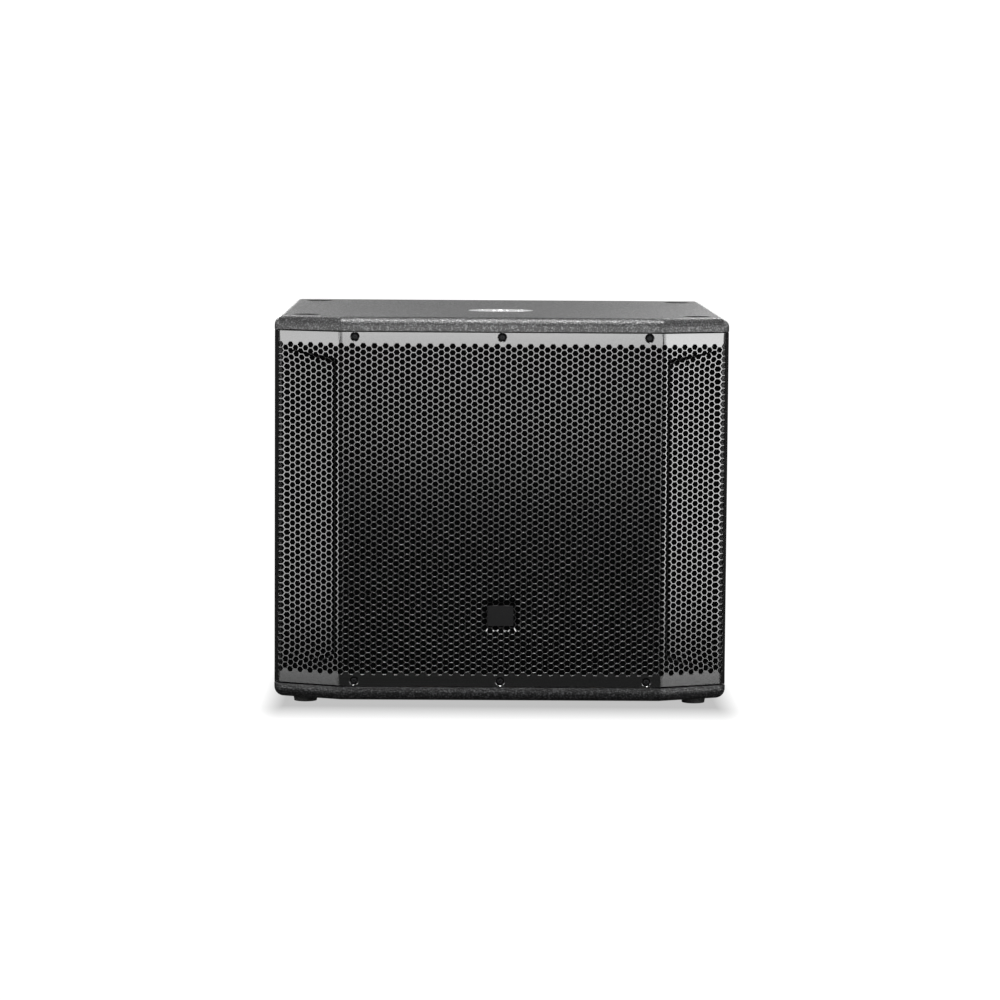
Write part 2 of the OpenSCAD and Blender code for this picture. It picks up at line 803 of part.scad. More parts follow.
module latch_tab(z) {
  color("#3a3a3a") on_plate([input_x, z]) translate([0, latch_y, latch_h / 2 + 1])
    cube([latch[0], latch[1], latch_h], center = true);
}

module output_sockets() {
  color("#232323") for (z = [row_a, row_b]) on_plate([output_x, z]) {
    difference() {
      union() {
        socket_body(18);
        cylinder(r = 11, h = 3.5);
      }
      translate([0, 0, -12]) cylinder(r = 9.6, h = 40);
      flange_holes();
    }
    for (a = [30, 150, 270]) rotate([0, 0, a]) translate([4.9, 0, -13]) cylinder(r = 1.2, h = 9);
  }
}

module power_sockets() {
  color("#2b3340") for (x = [input_x, input_x + 56]) on_plate([x, row_power]) difference() {
    union() {
      socket_body(22);
      cylinder(r = 11.4, h = 5);
    }
    translate([0, 0, -14]) difference() {
      cylinder(r = 9.6, h = 40);
      translate([0, 0, -1]) cylinder(r = 5.2, h = 10);
    }
    flange_holes();
  }
}

module rocker_frame() {
  color("#151515") on_plate(rocker_at) difference() {
    union() {
      linear_extrude(1.8) rounded_rect([32, 24], 2);
      translate([0, 0, -14]) linear_extrude(15) square([28, 20], center = true);
    }
    translate([0, 0, -11.5]) linear_extrude(20) square([25, 17], center = true);
    rotate([90, 0, 0]) cylinder(r = 1.55, h = 20.8, center = true);
  }
}

// The rocker turns about the vertical line through the middle of its frame
module power_rocker() {
  color("#101010") on_plate(rocker_at) rotate([90, 0, 0]) {
    rotate([0, 0, -rocker_tilt]) linear_extrude(16, center = true)
      polygon([[-11, 4.2], [0, 1.8], [11, 4.2], [10.6, -4], [-10.6, -4]]);
    cylinder(r = 1.5, h = 20, center = true);
  }
}

module knob_shape(r, h) {
  difference() {
    union() {
      translate([0, 0, 1]) cylinder(r = r, h = 2.5);
      translate([0, 0, 3]) cylinder(r1 = r - 1.4, r2 = r - 2.4, h = h - 3);
    }
    for (i = [0:17]) rotate([0, 0, i * 20]) translate([r - 1.2, 0, 3.6]) cylinder(r = 0.7, h = h, $fn = 16);
    translate([-0.6, -r, h - 0.8]) cube([1.2, r * 0.8, 2]);
  }
}

module gain_knob(z) {
  color("#1a1a1a") on_plate([gain_x, z]) {
    knob_shape(9.5, knob_h);
    translate([0, 0, -12]) cylinder(r = 3, h = 13.5);
  }
}

// Threaded bushings of the two level controls and of the encoder, with their bodies behind the plate
module control_bushings() {
  color("gray") for (at = [[gain_x, row_a], [gain_x, row_b], encoder_at]) on_plate(at) difference() {
    union() {
      translate([0, 0, -4]) cylinder(r = 4, h = 4.8);
      translate([0, 0, -16]) cylinder(r = 8, h = 12.5);
    }
    translate([0, 0, -14]) cylinder(r = 3.05, h = 30);
  }
}

module encoder_plunger() {
  color("silver") on_plate(encoder_at) translate([0, 0, -12]) cylinder(r = 3, h = 20);
}

module encoder_knob() {
  color("#1a1a1a") on_plate(encoder_at) difference() {
    translate([0, 0, 1.6]) knob_shape(11, knob_h - 1.6);
    translate([0, 0, -1]) cylinder(r = 3.05, h = 9.4);
  }
}

module display_window() {
  color("#2a3a4a") on_plate(display_at) {
    translate([0, 0, -2.4]) cube([display[0] - 0.4, display[1] - 0.4, 3], center = true);
  }
}

module menu_button(i) {
  color("#3a3a3a") on_plate([button_xs[i - 1], button_z]) {
    translate([0, 0, -4]) linear_extrude(6.2) rounded_rect(button, 1);
  }
}

module status_leds() {
  color("limegreen") for (x = led_xs) on_plate([x, button_z]) translate([0, 0, -4]) cylinder(r = 1.5, h = 4.6);
}

top_panel();
bottom_panel();
left_side_panel();
right_side_panel();
back_panel();
front_baffle();
window_brace();
port_boards();
grille_battens();
damping_pads();
grille();
grille_foam();
grille_screws();
badge();
pole_socket();
pole_socket_screws();
stacking_cups();
rubber_feet();
foot_screws();
left_handle();
right_handle();
handle_screws();
woofer_basket();
woofer_gasket();
woofer_bolts();
magnet_front_plate();
magnet_ring();
magnet_back_plate();
cone();
dust_cap();
coil_former();
voice_coil();
surround();
spider();
terminal_strip();
tinsel_leads();
speaker_cable();
amp_plate();
amp_tub();
amp_screws();
heat_sink();
amplifier_board();
input_sockets();
latch_tab(row_a);  // latch_tab_a
latch_tab(row_b);  // latch_tab_b
output_sockets();
power_sockets();
rocker_frame();
power_rocker();
gain_knob(row_a);  // gain_knob_a
gain_knob(row_b);  // gain_knob_b
control_bushings();
encoder_plunger();
encoder_knob();
display_window();
menu_button(1);  // menu_button_1
menu_button(2);  // menu_button_2
menu_button(3);  // menu_button_3
status_leds();
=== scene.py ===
import json
import math

import bmesh
import bpy
from mathutils import Matrix, Vector
from mathutils.geometry import delaunay_2d_cdt


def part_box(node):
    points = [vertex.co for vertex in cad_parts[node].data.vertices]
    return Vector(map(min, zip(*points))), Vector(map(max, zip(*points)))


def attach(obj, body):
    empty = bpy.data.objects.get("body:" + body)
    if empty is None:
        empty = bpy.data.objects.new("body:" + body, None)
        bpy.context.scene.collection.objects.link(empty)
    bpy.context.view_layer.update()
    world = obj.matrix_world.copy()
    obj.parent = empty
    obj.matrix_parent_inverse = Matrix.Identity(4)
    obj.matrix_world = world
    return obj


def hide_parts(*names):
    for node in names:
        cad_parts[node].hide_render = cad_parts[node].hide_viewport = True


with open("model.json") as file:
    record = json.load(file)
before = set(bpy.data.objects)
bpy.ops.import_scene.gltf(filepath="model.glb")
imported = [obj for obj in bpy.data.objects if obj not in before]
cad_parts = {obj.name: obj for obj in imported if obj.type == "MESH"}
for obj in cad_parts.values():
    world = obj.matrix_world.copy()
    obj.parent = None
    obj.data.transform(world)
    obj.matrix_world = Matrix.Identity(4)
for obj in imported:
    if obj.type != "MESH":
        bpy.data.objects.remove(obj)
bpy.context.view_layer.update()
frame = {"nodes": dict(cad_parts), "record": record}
cadNodes = frame["nodes"]
mm = 0.001
print("frame loaded,", len(cadNodes), "CAD nodes")


# Node helpers

def addNode(tree, kind, at=(0, 0), **settings):
    node = tree.nodes.new(kind)
    node.location = at
    for key, value in settings.items():
        if isinstance(value, dict):  # socket values, by name or by number
            for socket, number in value.items():
                node.inputs[socket].default_value = number
        else:
            setattr(node, key, value)
    return node


def join(tree, *pairs):
    for source, target in pairs:
        tree.links.new(source, target)


def feed(tree, socket, value):
    # a socket gets a plain number or colour, or a link
    if isinstance(value, (int, float)):
        socket.default_value = value
    elif isinstance(value, tuple):
        socket.default_value = (*value, 1)
    else:
        join(tree, (value, socket))


def newGroup(name, inputs, outputs):
    # a shader group with named float, vector or colour sockets
    group = bpy.data.node_groups.new(name, "ShaderNodeTree")
    kinds = {"float": "NodeSocketFloat", "vector": "NodeSocketVector", "colour": "NodeSocketColor"}
    for socketName, kind, value in inputs:
        socket = group.interface.new_socket(socketName, in_out="INPUT", socket_type=kinds[kind])
        if value is not None:
            socket.default_value = value
    for socketName, kind in outputs:
        group.interface.new_socket(socketName, in_out="OUTPUT", socket_type=kinds[kind])
    return group, addNode(group, "NodeGroupInput", (-900, 0)), addNode(group, "NodeGroupOutput", (700, 0))


def remap(tree, source, fromLow, fromHigh, toLow, toHigh, at=(0, 0)):
    node = addNode(tree, "ShaderNodeMapRange", at, inputs={
        "From Min": fromLow, "From Max": fromHigh, "To Min": toLow, "To Max": toHigh})
    join(tree, (source, node.inputs["Value"]))
    return node.outputs["Result"]


def calc(tree, operation, a, b=0.0, at=(0, 0)):
    node = addNode(tree, "ShaderNodeMath", at, operation=operation)
    feed(tree, node.inputs[0], a)
    feed(tree, node.inputs[1], b)
    return node.outputs[0]


def mixColours(tree, factor, first, second, at=(0, 0)):
    node = addNode(tree, "ShaderNodeMix", at, data_type="RGBA")
    for number, value in ((0, factor), (6, first), (7, second)):  # the colour sockets are numbers 6 and 7
        feed(tree, node.inputs[number], value)
    return node.outputs[2]


# Shared surface effects

def grainGroup():
    # cloudy large tone, and a finer grain for height and roughness
    group, given, out = newGroup("surfaceGrain",
        [("Vector", "vector", None), ("Cloud Scale", "float", 8.0), ("Grain Scale", "float", 600.0),
         ("Contrast", "float", 1.0)],
        [("Cloud", "float"), ("Grain", "float")])
    cloud = addNode(group, "ShaderNodeTexNoise", (-500, 200), inputs={"Detail": 5.0, "Roughness": 0.6})
    fine = addNode(group, "ShaderNodeTexNoise", (-500, -200), inputs={"Detail": 3.0, "Roughness": 0.55})
    join(group, (given.outputs["Vector"], cloud.inputs["Vector"]), (given.outputs["Vector"], fine.inputs["Vector"]),
         (given.outputs["Cloud Scale"], cloud.inputs["Scale"]), (given.outputs["Grain Scale"], fine.inputs["Scale"]))
    centred = calc(group, "SUBTRACT", cloud.outputs["Fac"], 0.5, (-250, 200))
    strong = calc(group, "MULTIPLY", centred, given.outputs["Contrast"], (-50, 200))
    join(group, (calc(group, "ADD", strong, 0.5, (150, 200)), out.inputs["Cloud"]),
         (fine.outputs["Fac"], out.inputs["Grain"]))
    return group


def pebbleGroup():
    # rounded blobs of sprayed coating, in two sizes
    group, given, out = newGroup("sprayedPebbles",
        [("Vector", "vector", None), ("Blob Scale", "float", 700.0), ("Fill", "float", 0.5)],
        [("Height", "float"), ("Pits", "float")])
    blobs = addNode(group, "ShaderNodeTexVoronoi", (-500, 200), feature="SMOOTH_F1",
                    inputs={"Smoothness": 0.55, "Randomness": 1.0})
    small = addNode(group, "ShaderNodeTexVoronoi", (-500, -100), feature="SMOOTH_F1",
                    inputs={"Smoothness": 0.4, "Randomness": 1.0})
    smallScale = calc(group, "MULTIPLY", given.outputs["Blob Scale"], 2.3, (-700, -100))
    join(group, (given.outputs["Vector"], blobs.inputs["Vector"]), (given.outputs["Vector"], small.inputs["Vector"]),
         (given.outputs["Blob Scale"], blobs.inputs["Scale"]), (smallScale, small.inputs["Scale"]))
    large = remap(group, blobs.outputs["Distance"], 0.0, 0.8, 1.0, 0.0, (-250, 200))
    tiny = remap(group, small.outputs["Distance"], 0.0, 0.8, 1.0, 0.0, (-250, -100))
    share = calc(group, "MULTIPLY", tiny, given.outputs["Fill"], (-50, -100))
    join(group, (calc(group, "ADD", large, share, (150, 0)), out.inputs["Height"]),
         (remap(group, large, 0.25, 0.55, 1.0, 0.0, (150, 200)), out.inputs["Pits"]))
    return group


def wearGroup():
    # pale rubbed edges, on the black screws also a painted highlight: where the bevelled normal leaves the true one,
    # broken up by noise
    group, given, out = newGroup("edgeWear",
        [("Vector", "vector", None), ("Width", "float", 0.002), ("Amount", "float", 0.5), ("Scale", "float", 60.0)],
        [("Mask", "float")])
    bevel = addNode(group, "ShaderNodeBevel", (-600, 200), samples=4)
    geometry = addNode(group, "ShaderNodeNewGeometry", (-600, 0))
    compare = addNode(group, "ShaderNodeVectorMath", (-400, 100), operation="DOT_PRODUCT")
    chips = addNode(group, "ShaderNodeTexNoise", (-600, -250), inputs={"Detail": 6.0, "Roughness": 0.7})
    join(group, (given.outputs["Width"], bevel.inputs["Radius"]), (bevel.outputs["Normal"], compare.inputs[0]),
         (geometry.outputs["True Normal"], compare.inputs[1]), (given.outputs["Vector"], chips.inputs["Vector"]),
         (given.outputs["Scale"], chips.inputs["Scale"]))
    edge = remap(group, compare.outputs["Value"], 0.995, 0.85, 0.0, 1.0, (-200, 100))
    broken = remap(group, chips.outputs["Fac"], 0.5, 0.68, 0.0, 1.0, (-200, -250))
    both = calc(group, "MULTIPLY", edge, broken, (50, 0))
    join(group, (calc(group, "MULTIPLY", both, given.outputs["Amount"], (250, 0)), out.inputs["Mask"]))
    return group


def dustGroup():
    # dust that settles on what faces up
    group, given, out = newGroup("settledDust",
        [("Vector", "vector", None), ("Amount", "float", 0.2), ("Scale", "float", 30.0)], [("Mask", "float")])
    geometry = addNode(group, "ShaderNodeNewGeometry", (-700, 100))
    split = addNode(group, "ShaderNodeSeparateXYZ", (-500, 100))
    patches = addNode(group, "ShaderNodeTexNoise", (-600, -200), inputs={"Detail": 8.0, "Roughness": 0.75})
    join(group, (geometry.outputs["Normal"], split.inputs[0]), (given.outputs["Vector"], patches.inputs["Vector"]),
         (given.outputs["Scale"], patches.inputs["Scale"]))
    upward = remap(group, split.outputs["Z"], 0.3, 1.0, 0.0, 1.0, (-300, 100))
    cloudy = remap(group, patches.outputs["Fac"], 0.35, 0.75, 0.0, 1.0, (-300, -200))
    both = calc(group, "MULTIPLY", upward, cloudy, (-50, 0))
    join(group, (calc(group, "MULTIPLY", both, given.outputs["Amount"], (150, 0)), out.inputs["Mask"]))
    return group


def weaveGroup():
    # over and under threads
    group, given, out = newGroup("wovenCloth", [("Vector", "vector", None), ("Thread Scale", "float", 1500.0)],
                                 [("Height", "float")])
    waves = []
    for direction, y in (("X", 200), ("Z", -100)):
        wave = addNode(group, "ShaderNodeTexWave", (-500, y), bands_direction=direction,
                       inputs={"Distortion": 0.6, "Detail": 1.0, "Detail Scale": 2.0})
        join(group, (given.outputs["Vector"], wave.inputs["Vector"]),
             (given.outputs["Thread Scale"], wave.inputs["Scale"]))
        waves.append(wave.outputs["Fac"])
    join(group, (calc(group, "MAXIMUM", waves[0], waves[1], (0, 0)), out.inputs["Height"]))
    return group


groups = {"grain": grainGroup(), "pebbles": pebbleGroup(), "wear": wearGroup(), "dust": dustGroup(),
          "weave": weaveGroup()}
print("shader groups made")


# Finishes

def startMaterial(name):
    # a new material with its shader, an Object coordinate and a way to place the shared groups
    material = bpy.data.materials.new(name)
    material.use_nodes = True
    tree = material.node_tree
    tree.nodes.clear()
    shader = addNode(tree, "ShaderNodeBsdfPrincipled", (600, 0))
    output = addNode(tree, "ShaderNodeOutputMaterial", (900, 0))
    place = addNode(tree, "ShaderNodeTexCoord", (-1200, 0))
    join(tree, (shader.outputs[0], output.inputs["Surface"]))

    def placeGroup(key, at, values):
        node = addNode(tree, "ShaderNodeGroup", at, node_tree=groups[key], inputs=values)
        join(tree, (place.outputs["Object"], node.inputs["Vector"]))
        return node

    return material, tree, shader, place, placeGroup


def bumpInto(tree, shader, height, strength, distance, at=(350, -350)):
    node = addNode(tree, "ShaderNodeBump", at, inputs={"Strength": strength, "Distance": distance})
    join(tree, (height, node.inputs["Height"]), (node.outputs["Normal"], shader.inputs["Normal"]))


def paintedFinish(name, look):
    # one recipe for sprayed, powder-coated and moulded surfaces: tone, grain, painted shade in the hollows, painted
    # glints, wear (partly a painted highlight on the black screws), dust
    material, tree, shader, place, placeGroup = startMaterial(name)
    grain = placeGroup("grain", (-800, 200), {"Cloud Scale": look["cloudScale"], "Grain Scale": look["grainScale"],
                                              "Contrast": look.get("contrast", 1.0)})
    colour = mixColours(tree, grain.outputs["Cloud"], look["dark"], look["light"], (-400, 300))
    height = grain.outputs["Grain"]
    rough = remap(tree, grain.outputs["Grain"], 0.3, 0.7, look["rough"][0], look["rough"][1], (-100, -100))
    if "pebbleScale" in look:
        pebbles = placeGroup("pebbles", (-800, -200), {"Blob Scale": look["pebbleScale"], "Fill": look["fill"]})
        height = pebbles.outputs["Height"]
        # the hollows between the blobs are painted darker: painted shade
        paintedPitShade = calc(tree, "MULTIPLY", pebbles.outputs["Pits"], look["pitShade"], (-600, 0))
        colour = mixColours(tree, paintedPitShade, colour, look["pitColour"], (-200, 300))
    # glossy spots: their coat is real gloss, and their paler colour is a painted glint standing in for light caught
    # by the coating's blobs
    if "fleckScale" in look:
        glossAndGlintSpots = placeGroup("grain", (-800, -350), {"Cloud Scale": look["fleckScale"],
                                                    "Grain Scale": look["fleckScale"] * 2})
        glossAndGlintMask = remap(tree, glossAndGlintSpots.outputs["Cloud"], 0.50, 0.66, 0.0, 1.0, (-500, -350))
        colour = mixColours(tree, glossAndGlintMask, colour, look["fleckColour"], (-100, 500))
        shine = remap(tree, glossAndGlintMask, 0.0, 1.0, 0.0, look["fleckCoat"], (0, -350))
    if look.get("wear", 0) > 0:
        wear = placeGroup("wear", (-800, -500), {"Width": look.get("wearWidth", 0.0015), "Amount": look["wear"],
                                                 "Scale": look.get("wearScale", 60.0)})
        # pale edges: real wear, and on the black screws also a painted highlight
        wearAndGlintTone = look.get("wearColour", (0.16, 0.16, 0.16))
        colour = mixColours(tree, wear.outputs["Mask"], colour, wearAndGlintTone, (0, 300))
    if look.get("dust", 0) > 0:
        dust = placeGroup("dust", (-800, -750), {"Amount": look["dust"], "Scale": 25.0})
        colour = mixColours(tree, dust.outputs["Mask"], colour, (0.35, 0.34, 0.32), (200, 300))
        rough = calc(tree, "ADD", rough, calc(tree, "MULTIPLY", dust.outputs["Mask"], 0.3, (0, -250)), (150, -150))
    join(tree, (colour, shader.inputs["Base Color"]), (rough, shader.inputs["Roughness"]))
    bumpInto(tree, shader, height, look["bump"], look["bumpDepth"])
    shader.inputs["Specular IOR Level"].default_value = look.get("specular", 0.5)
    shader.inputs["Coat Weight"].default_value = look.get("coat", 0.0)
    if "fleckScale" in look:
        join(tree, (shine, shader.inputs["Coat Weight"]))
    shader.inputs["Coat Roughness"].default_value = look.get("coatRough", 0.2)
    return material


def brushedMetal(name, look):
    # turned or drawn metal: long fine scratches, tarnish clouds and rubbed edges
    material, tree, shader, place, placeGroup = startMaterial(name)
    stretch = addNode(tree, "ShaderNodeMapping", (-1000, -200), inputs={"Scale": look.get("stretch", (1, 1, 12))})
    scratches = addNode(tree, "ShaderNodeTexNoise", (-750, -200),
                        inputs={"Scale": look["scratchScale"], "Detail": 4.0, "Roughness": 0.7})
    join(tree, (place.outputs["Object"], stretch.inputs[0]), (stretch.outputs[0], scratches.inputs["Vector"]))
    grain = placeGroup("grain", (-800, 200), {"Cloud Scale": look["cloudScale"],
                                              "Grain Scale": look["scratchScale"] * 2})
    wear = placeGroup("wear", (-800, -500), {"Width": 0.0008, "Amount": 0.5, "Scale": 120.0})
    colour = mixColours(tree, grain.outputs["Cloud"], look["dark"], look["light"], (-300, 300))
    colour = mixColours(tree, wear.outputs["Mask"], colour, look["light"], (-100, 300))
    rough = remap(tree, scratches.outputs["Fac"], 0.3, 0.7, look["rough"][0], look["rough"][1], (-300, -100))
    join(tree, (colour, shader.inputs["Base Color"]), (rough, shader.inputs["Roughness"]))
    bumpInto(tree, shader, scratches.outputs["Fac"], 0.15, 0.00005)
    shader.inputs["Metallic"].default_value = 1.0
    return material


def clothFinish(name, look):
    # woven, felted or foamed: threads or cells, fuzz and uneven dye
    material, tree, shader, place, placeGroup = startMaterial(name)
    grain = placeGroup("grain", (-800, 200), {"Cloud Scale": look["cloudScale"], "Grain Scale": look["grainScale"]})
    colour = mixColours(tree, grain.outputs["Grain"], look["dark"], look["light"], (-300, 300))
    if "threadScale" in look:
        height = placeGroup("weave", (-800, -200), {"Thread Scale": look["threadScale"]}).outputs["Height"]
    else:
        pebbles = placeGroup("pebbles", (-800, -200), {"Blob Scale": look["cellScale"], "Fill": 0.6})
        height = pebbles.outputs["Pits"]
        # the hollows between the cells are painted darker: painted shade
        colour = mixColours(tree, pebbles.outputs["Pits"], colour, look["dark"], (-100, 300))
    rough = remap(tree, grain.outputs["Cloud"], 0.3, 0.7, 0.85, 1.0, (-300, -100))
    join(tree, (colour, shader.inputs["Base Color"]), (rough, shader.inputs["Roughness"]))
    bumpInto(tree, shader, height, look["bump"], look.get("bumpDepth", 0.0003))
    shader.inputs["Sheen Weight"].default_value = look["sheen"]
    shader.inputs["Specular IOR Level"].default_value = look.get("specular", 0.3)
    return material


# Cabinet coating: dark grey, sprayed on thick so that it dries in small round blobs
cabinetCoating = {
    "dark": (0.005, 0.005, 0.0053), "light": (0.009, 0.009, 0.0094), "rough": (0.31, 0.46), "cloudScale": 3.0,
    # pitShade and the pit colour below paint shade into the hollows between the blobs
    "contrast": 0.6, "grainScale": 900.0, "pebbleScale": 480.0, "fill": 0.45, "pitShade": 0.9,
    "pitColour": (0.003, 0.003, 0.003), "bump": 0.8, "bumpDepth": 0.0004, "fleckScale": 430.0,
    # the pale spot colour is a painted glint; the spots' coat is real gloss
    "fleckColour": (0.045, 0.045, 0.047), "fleckCoat": 1.0, "coatRough": 0.4, "specular": 0.45, "wear": 0.2,
    "wearWidth": 0.003, "wearScale": 45.0, "dust": 0.02,
}
# Grille: satin black powder coat
grilleCoating = {
    "dark": (0.0030, 0.0030, 0.0030), "light": (0.0045, 0.0045, 0.0045), "rough": (0.19, 0.25), "cloudScale": 12.0,
    "grainScale": 1400.0, "bump": 0.04, "bumpDepth": 0.00003, "specular": 1.0,
}
mouldedBlack = {
    "dark": (0.008, 0.008, 0.0085), "light": (0.014, 0.014, 0.015), "rough": (0.45, 0.6), "cloudScale": 15.0,
    "grainScale": 2200.0, "bump": 0.35, "bumpDepth": 0.0001, "wear": 0.3, "wearColour": (0.09, 0.09, 0.09),
    "dust": 0.03, "specular": 0.2,
}
matteRubber = {
    "dark": (0.016, 0.016, 0.016), "light": (0.028, 0.028, 0.028), "rough": (0.75, 0.95), "cloudScale": 25.0,
    "grainScale": 1600.0, "bump": 0.3, "bumpDepth": 0.0001, "dust": 0.15, "wear": 0.3,
}
poleAluminium = {"dark": (0.72, 0.72, 0.73), "light": (0.90, 0.90, 0.90), "rough": (0.22, 0.42), "cloudScale": 18.0,
                 "scratchScale": 900.0, "stretch": (1, 1, 1)}
zincSteel = {"dark": (0.45, 0.45, 0.46), "light": (0.68, 0.68, 0.66), "rough": (0.25, 0.45), "cloudScale": 40.0,
             "scratchScale": 1500.0}
zincSheet = {"dark": (0.42, 0.43, 0.44), "light": (0.66, 0.67, 0.68), "rough": (0.3, 0.5), "cloudScale": 30.0,
             "scratchScale": 300.0}
turnedBrass = {"dark": (0.50, 0.42, 0.28), "light": (0.70, 0.68, 0.62), "rough": (0.2, 0.35), "cloudScale": 60.0,
               "scratchScale": 2000.0}
motorSteel = {"dark": (0.10, 0.10, 0.10), "light": (0.17, 0.17, 0.17), "rough": (0.35, 0.5), "cloudScale": 25.0,
              "scratchScale": 700.0}
windingCopper = {"dark": (0.45, 0.17, 0.08), "light": (0.75, 0.34, 0.18), "rough": (0.2, 0.35), "cloudScale": 60.0,
                 "scratchScale": 1200.0, "stretch": (0.2, 8, 0.2)}
# black oxide screws: the pale edges of the recess are partly real wear and partly a painted highlight
blackOxide = {
    "dark": (0.004, 0.004, 0.0045), "light": (0.009, 0.009, 0.010), "rough": (0.42, 0.56), "cloudScale": 90.0,
    "grainScale": 2500.0, "bump": 0.12, "bumpDepth": 0.00005, "specular": 0.1, "wear": 0.35, "wearWidth": 0.0004,
    "wearScale": 400.0, "wearColour": (0.12, 0.12, 0.12),
}
badgeSatin = {
    "dark": (0.004, 0.004, 0.0042), "light": (0.006, 0.006, 0.0063), "rough": (0.26, 0.34), "cloudScale": 60.0,
    "grainScale": 3000.0, "bump": 0.15, "bumpDepth": 0.00004, "specular": 0.25, "wear": 0.4, "wearWidth": 0.0004,
    "wearScale": 500.0,
}
ampPaint = {
    "dark": (0.016, 0.016, 0.017), "light": (0.024, 0.024, 0.026), "rough": (0.42, 0.56), "cloudScale": 10.0,
    "grainScale": 1500.0, "bump": 0.4, "bumpDepth": 0.00012, "wear": 0.35, "wearWidth": 0.0006,
    "wearScale": 120.0, "wearColour": (0.3, 0.3, 0.3), "dust": 0.1,
}
castFrame = {
    "dark": (0.012, 0.012, 0.012), "light": (0.022, 0.022, 0.022), "rough": (0.4, 0.6), "cloudScale": 18.0,
    "grainScale": 500.0, "bump": 0.5, "bumpDepth": 0.0003, "wear": 0.3, "wearWidth": 0.001,
}
ferriteBlack = {
    "dark": (0.022, 0.021, 0.021), "light": (0.045, 0.044, 0.043), "rough": (0.5, 0.7), "cloudScale": 35.0,
    "grainScale": 700.0, "bump": 0.6, "bumpDepth": 0.0002, "wear": 0.2,
}
knobPlastic = {
    "dark": (0.014, 0.014, 0.014), "light": (0.022, 0.022, 0.022), "rough": (0.32, 0.45), "cloudScale": 60.0,
    "grainScale": 2600.0, "bump": 0.25, "bumpDepth": 0.00006, "wear": 0.4, "wearWidth": 0.0004,
    "wearScale": 300.0, "dust": 0.08,
}
socketPlastic = {
    "dark": (0.012, 0.012, 0.012), "light": (0.022, 0.022, 0.022), "rough": (0.3, 0.45), "cloudScale": 50.0,
    "grainScale": 2400.0, "bump": 0.2, "bumpDepth": 0.00006, "wear": 0.35, "wearWidth": 0.0005, "wearScale": 300.0,
}
powerBlue = {
    "dark": (0.02, 0.07, 0.26), "light": (0.03, 0.10, 0.34), "rough": (0.3, 0.45), "cloudScale": 50.0,
    "grainScale": 2400.0, "bump": 0.2, "bumpDepth": 0.00006, "wear": 0.3, "wearColour": (0.2, 0.3, 0.5),
}
buttonGrey = {
    "dark": (0.10, 0.10, 0.105), "light": (0.14, 0.14, 0.145), "rough": (0.4, 0.55), "cloudScale": 60.0,
    "grainScale": 2600.0, "bump": 0.25, "bumpDepth": 0.00006, "wear": 0.3, "wearWidth": 0.0004, "dust": 0.08,
}
rockerPlastic = {
    "dark": (0.012, 0.012, 0.012), "light": (0.018, 0.018, 0.018), "rough": (0.18, 0.3), "cloudScale": 60.0,
    "grainScale": 2600.0, "bump": 0.1, "bumpDepth": 0.00004, "specular": 0.6, "wear": 0.3, "wearWidth": 0.0004,
}
boardGreen = {
    "dark": (0.008, 0.045, 0.018), "light": (0.015, 0.075, 0.03), "rough": (0.25, 0.4), "cloudScale": 40.0,
    "grainScale": 700.0, "bump": 0.4, "bumpDepth": 0.0001, "coat": 0.4,
}
displayGlass = {
    "dark": (0.004, 0.005, 0.006), "light": (0.006, 0.007, 0.009), "rough": (0.06, 0.12), "cloudScale": 40.0,
    "grainScale": 3000.0, "bump": 0.03, "bumpDepth": 0.00002, "specular": 0.6, "coat": 1.0, "coatRough": 0.05,
    "dust": 0.06,
}
formerFilm = {
    "dark": (0.30, 0.12, 0.03), "light": (0.42, 0.19, 0.06), "rough": (0.2, 0.35), "cloudScale": 60.0,
    "grainScale": 900.0, "bump": 0.15, "bumpDepth": 0.00005, "coat": 0.5,
}
cableJacket = {
    "dark": (0.012, 0.012, 0.012), "light": (0.022, 0.022, 0.022), "rough": (0.45, 0.6), "cloudScale": 40.0,
    "grainScale": 1200.0, "bump": 0.3, "bumpDepth": 0.0001,
}
baffleBlack = {
    "dark": (0.010, 0.010, 0.010), "light": (0.018, 0.018, 0.018), "rough": (0.6, 0.8), "cloudScale": 8.0,
    "grainScale": 400.0, "bump": 0.5, "bumpDepth": 0.0002, "wear": 0.3, "wearColour": (0.25, 0.17, 0.09),
}
grilleFoam = {"dark": (0.0004, 0.0004, 0.0004), "light": (0.0025, 0.0025, 0.0026), "cloudScale": 20.0,
              "grainScale": 900.0, "cellScale": 900.0, "bump": 0.8, "sheen": 0.0, "specular": 0.03}
felt = {"dark": (0.10, 0.10, 0.11), "light": (0.24, 0.24, 0.26), "cloudScale": 14.0, "grainScale": 350.0,
        "cellScale": 260.0, "bump": 0.9, "bumpDepth": 0.0008, "sheen": 0.5}
conePaper = {"dark": (0.012, 0.012, 0.012), "light": (0.030, 0.030, 0.030), "cloudScale": 30.0, "grainScale": 500.0,
             "cellScale": 420.0, "bump": 0.35, "sheen": 0.1}
treatedCloth = {"dark": (0.008, 0.008, 0.008), "light": (0.022, 0.022, 0.022), "cloudScale": 30.0,
                "grainScale": 900.0, "threadScale": 900.0, "bump": 0.4, "sheen": 0.2}
spiderCloth = {"dark": (0.22, 0.15, 0.06), "light": (0.42, 0.32, 0.16), "cloudScale": 30.0, "grainScale": 900.0,
               "threadScale": 700.0, "bump": 0.6, "sheen": 0.3}


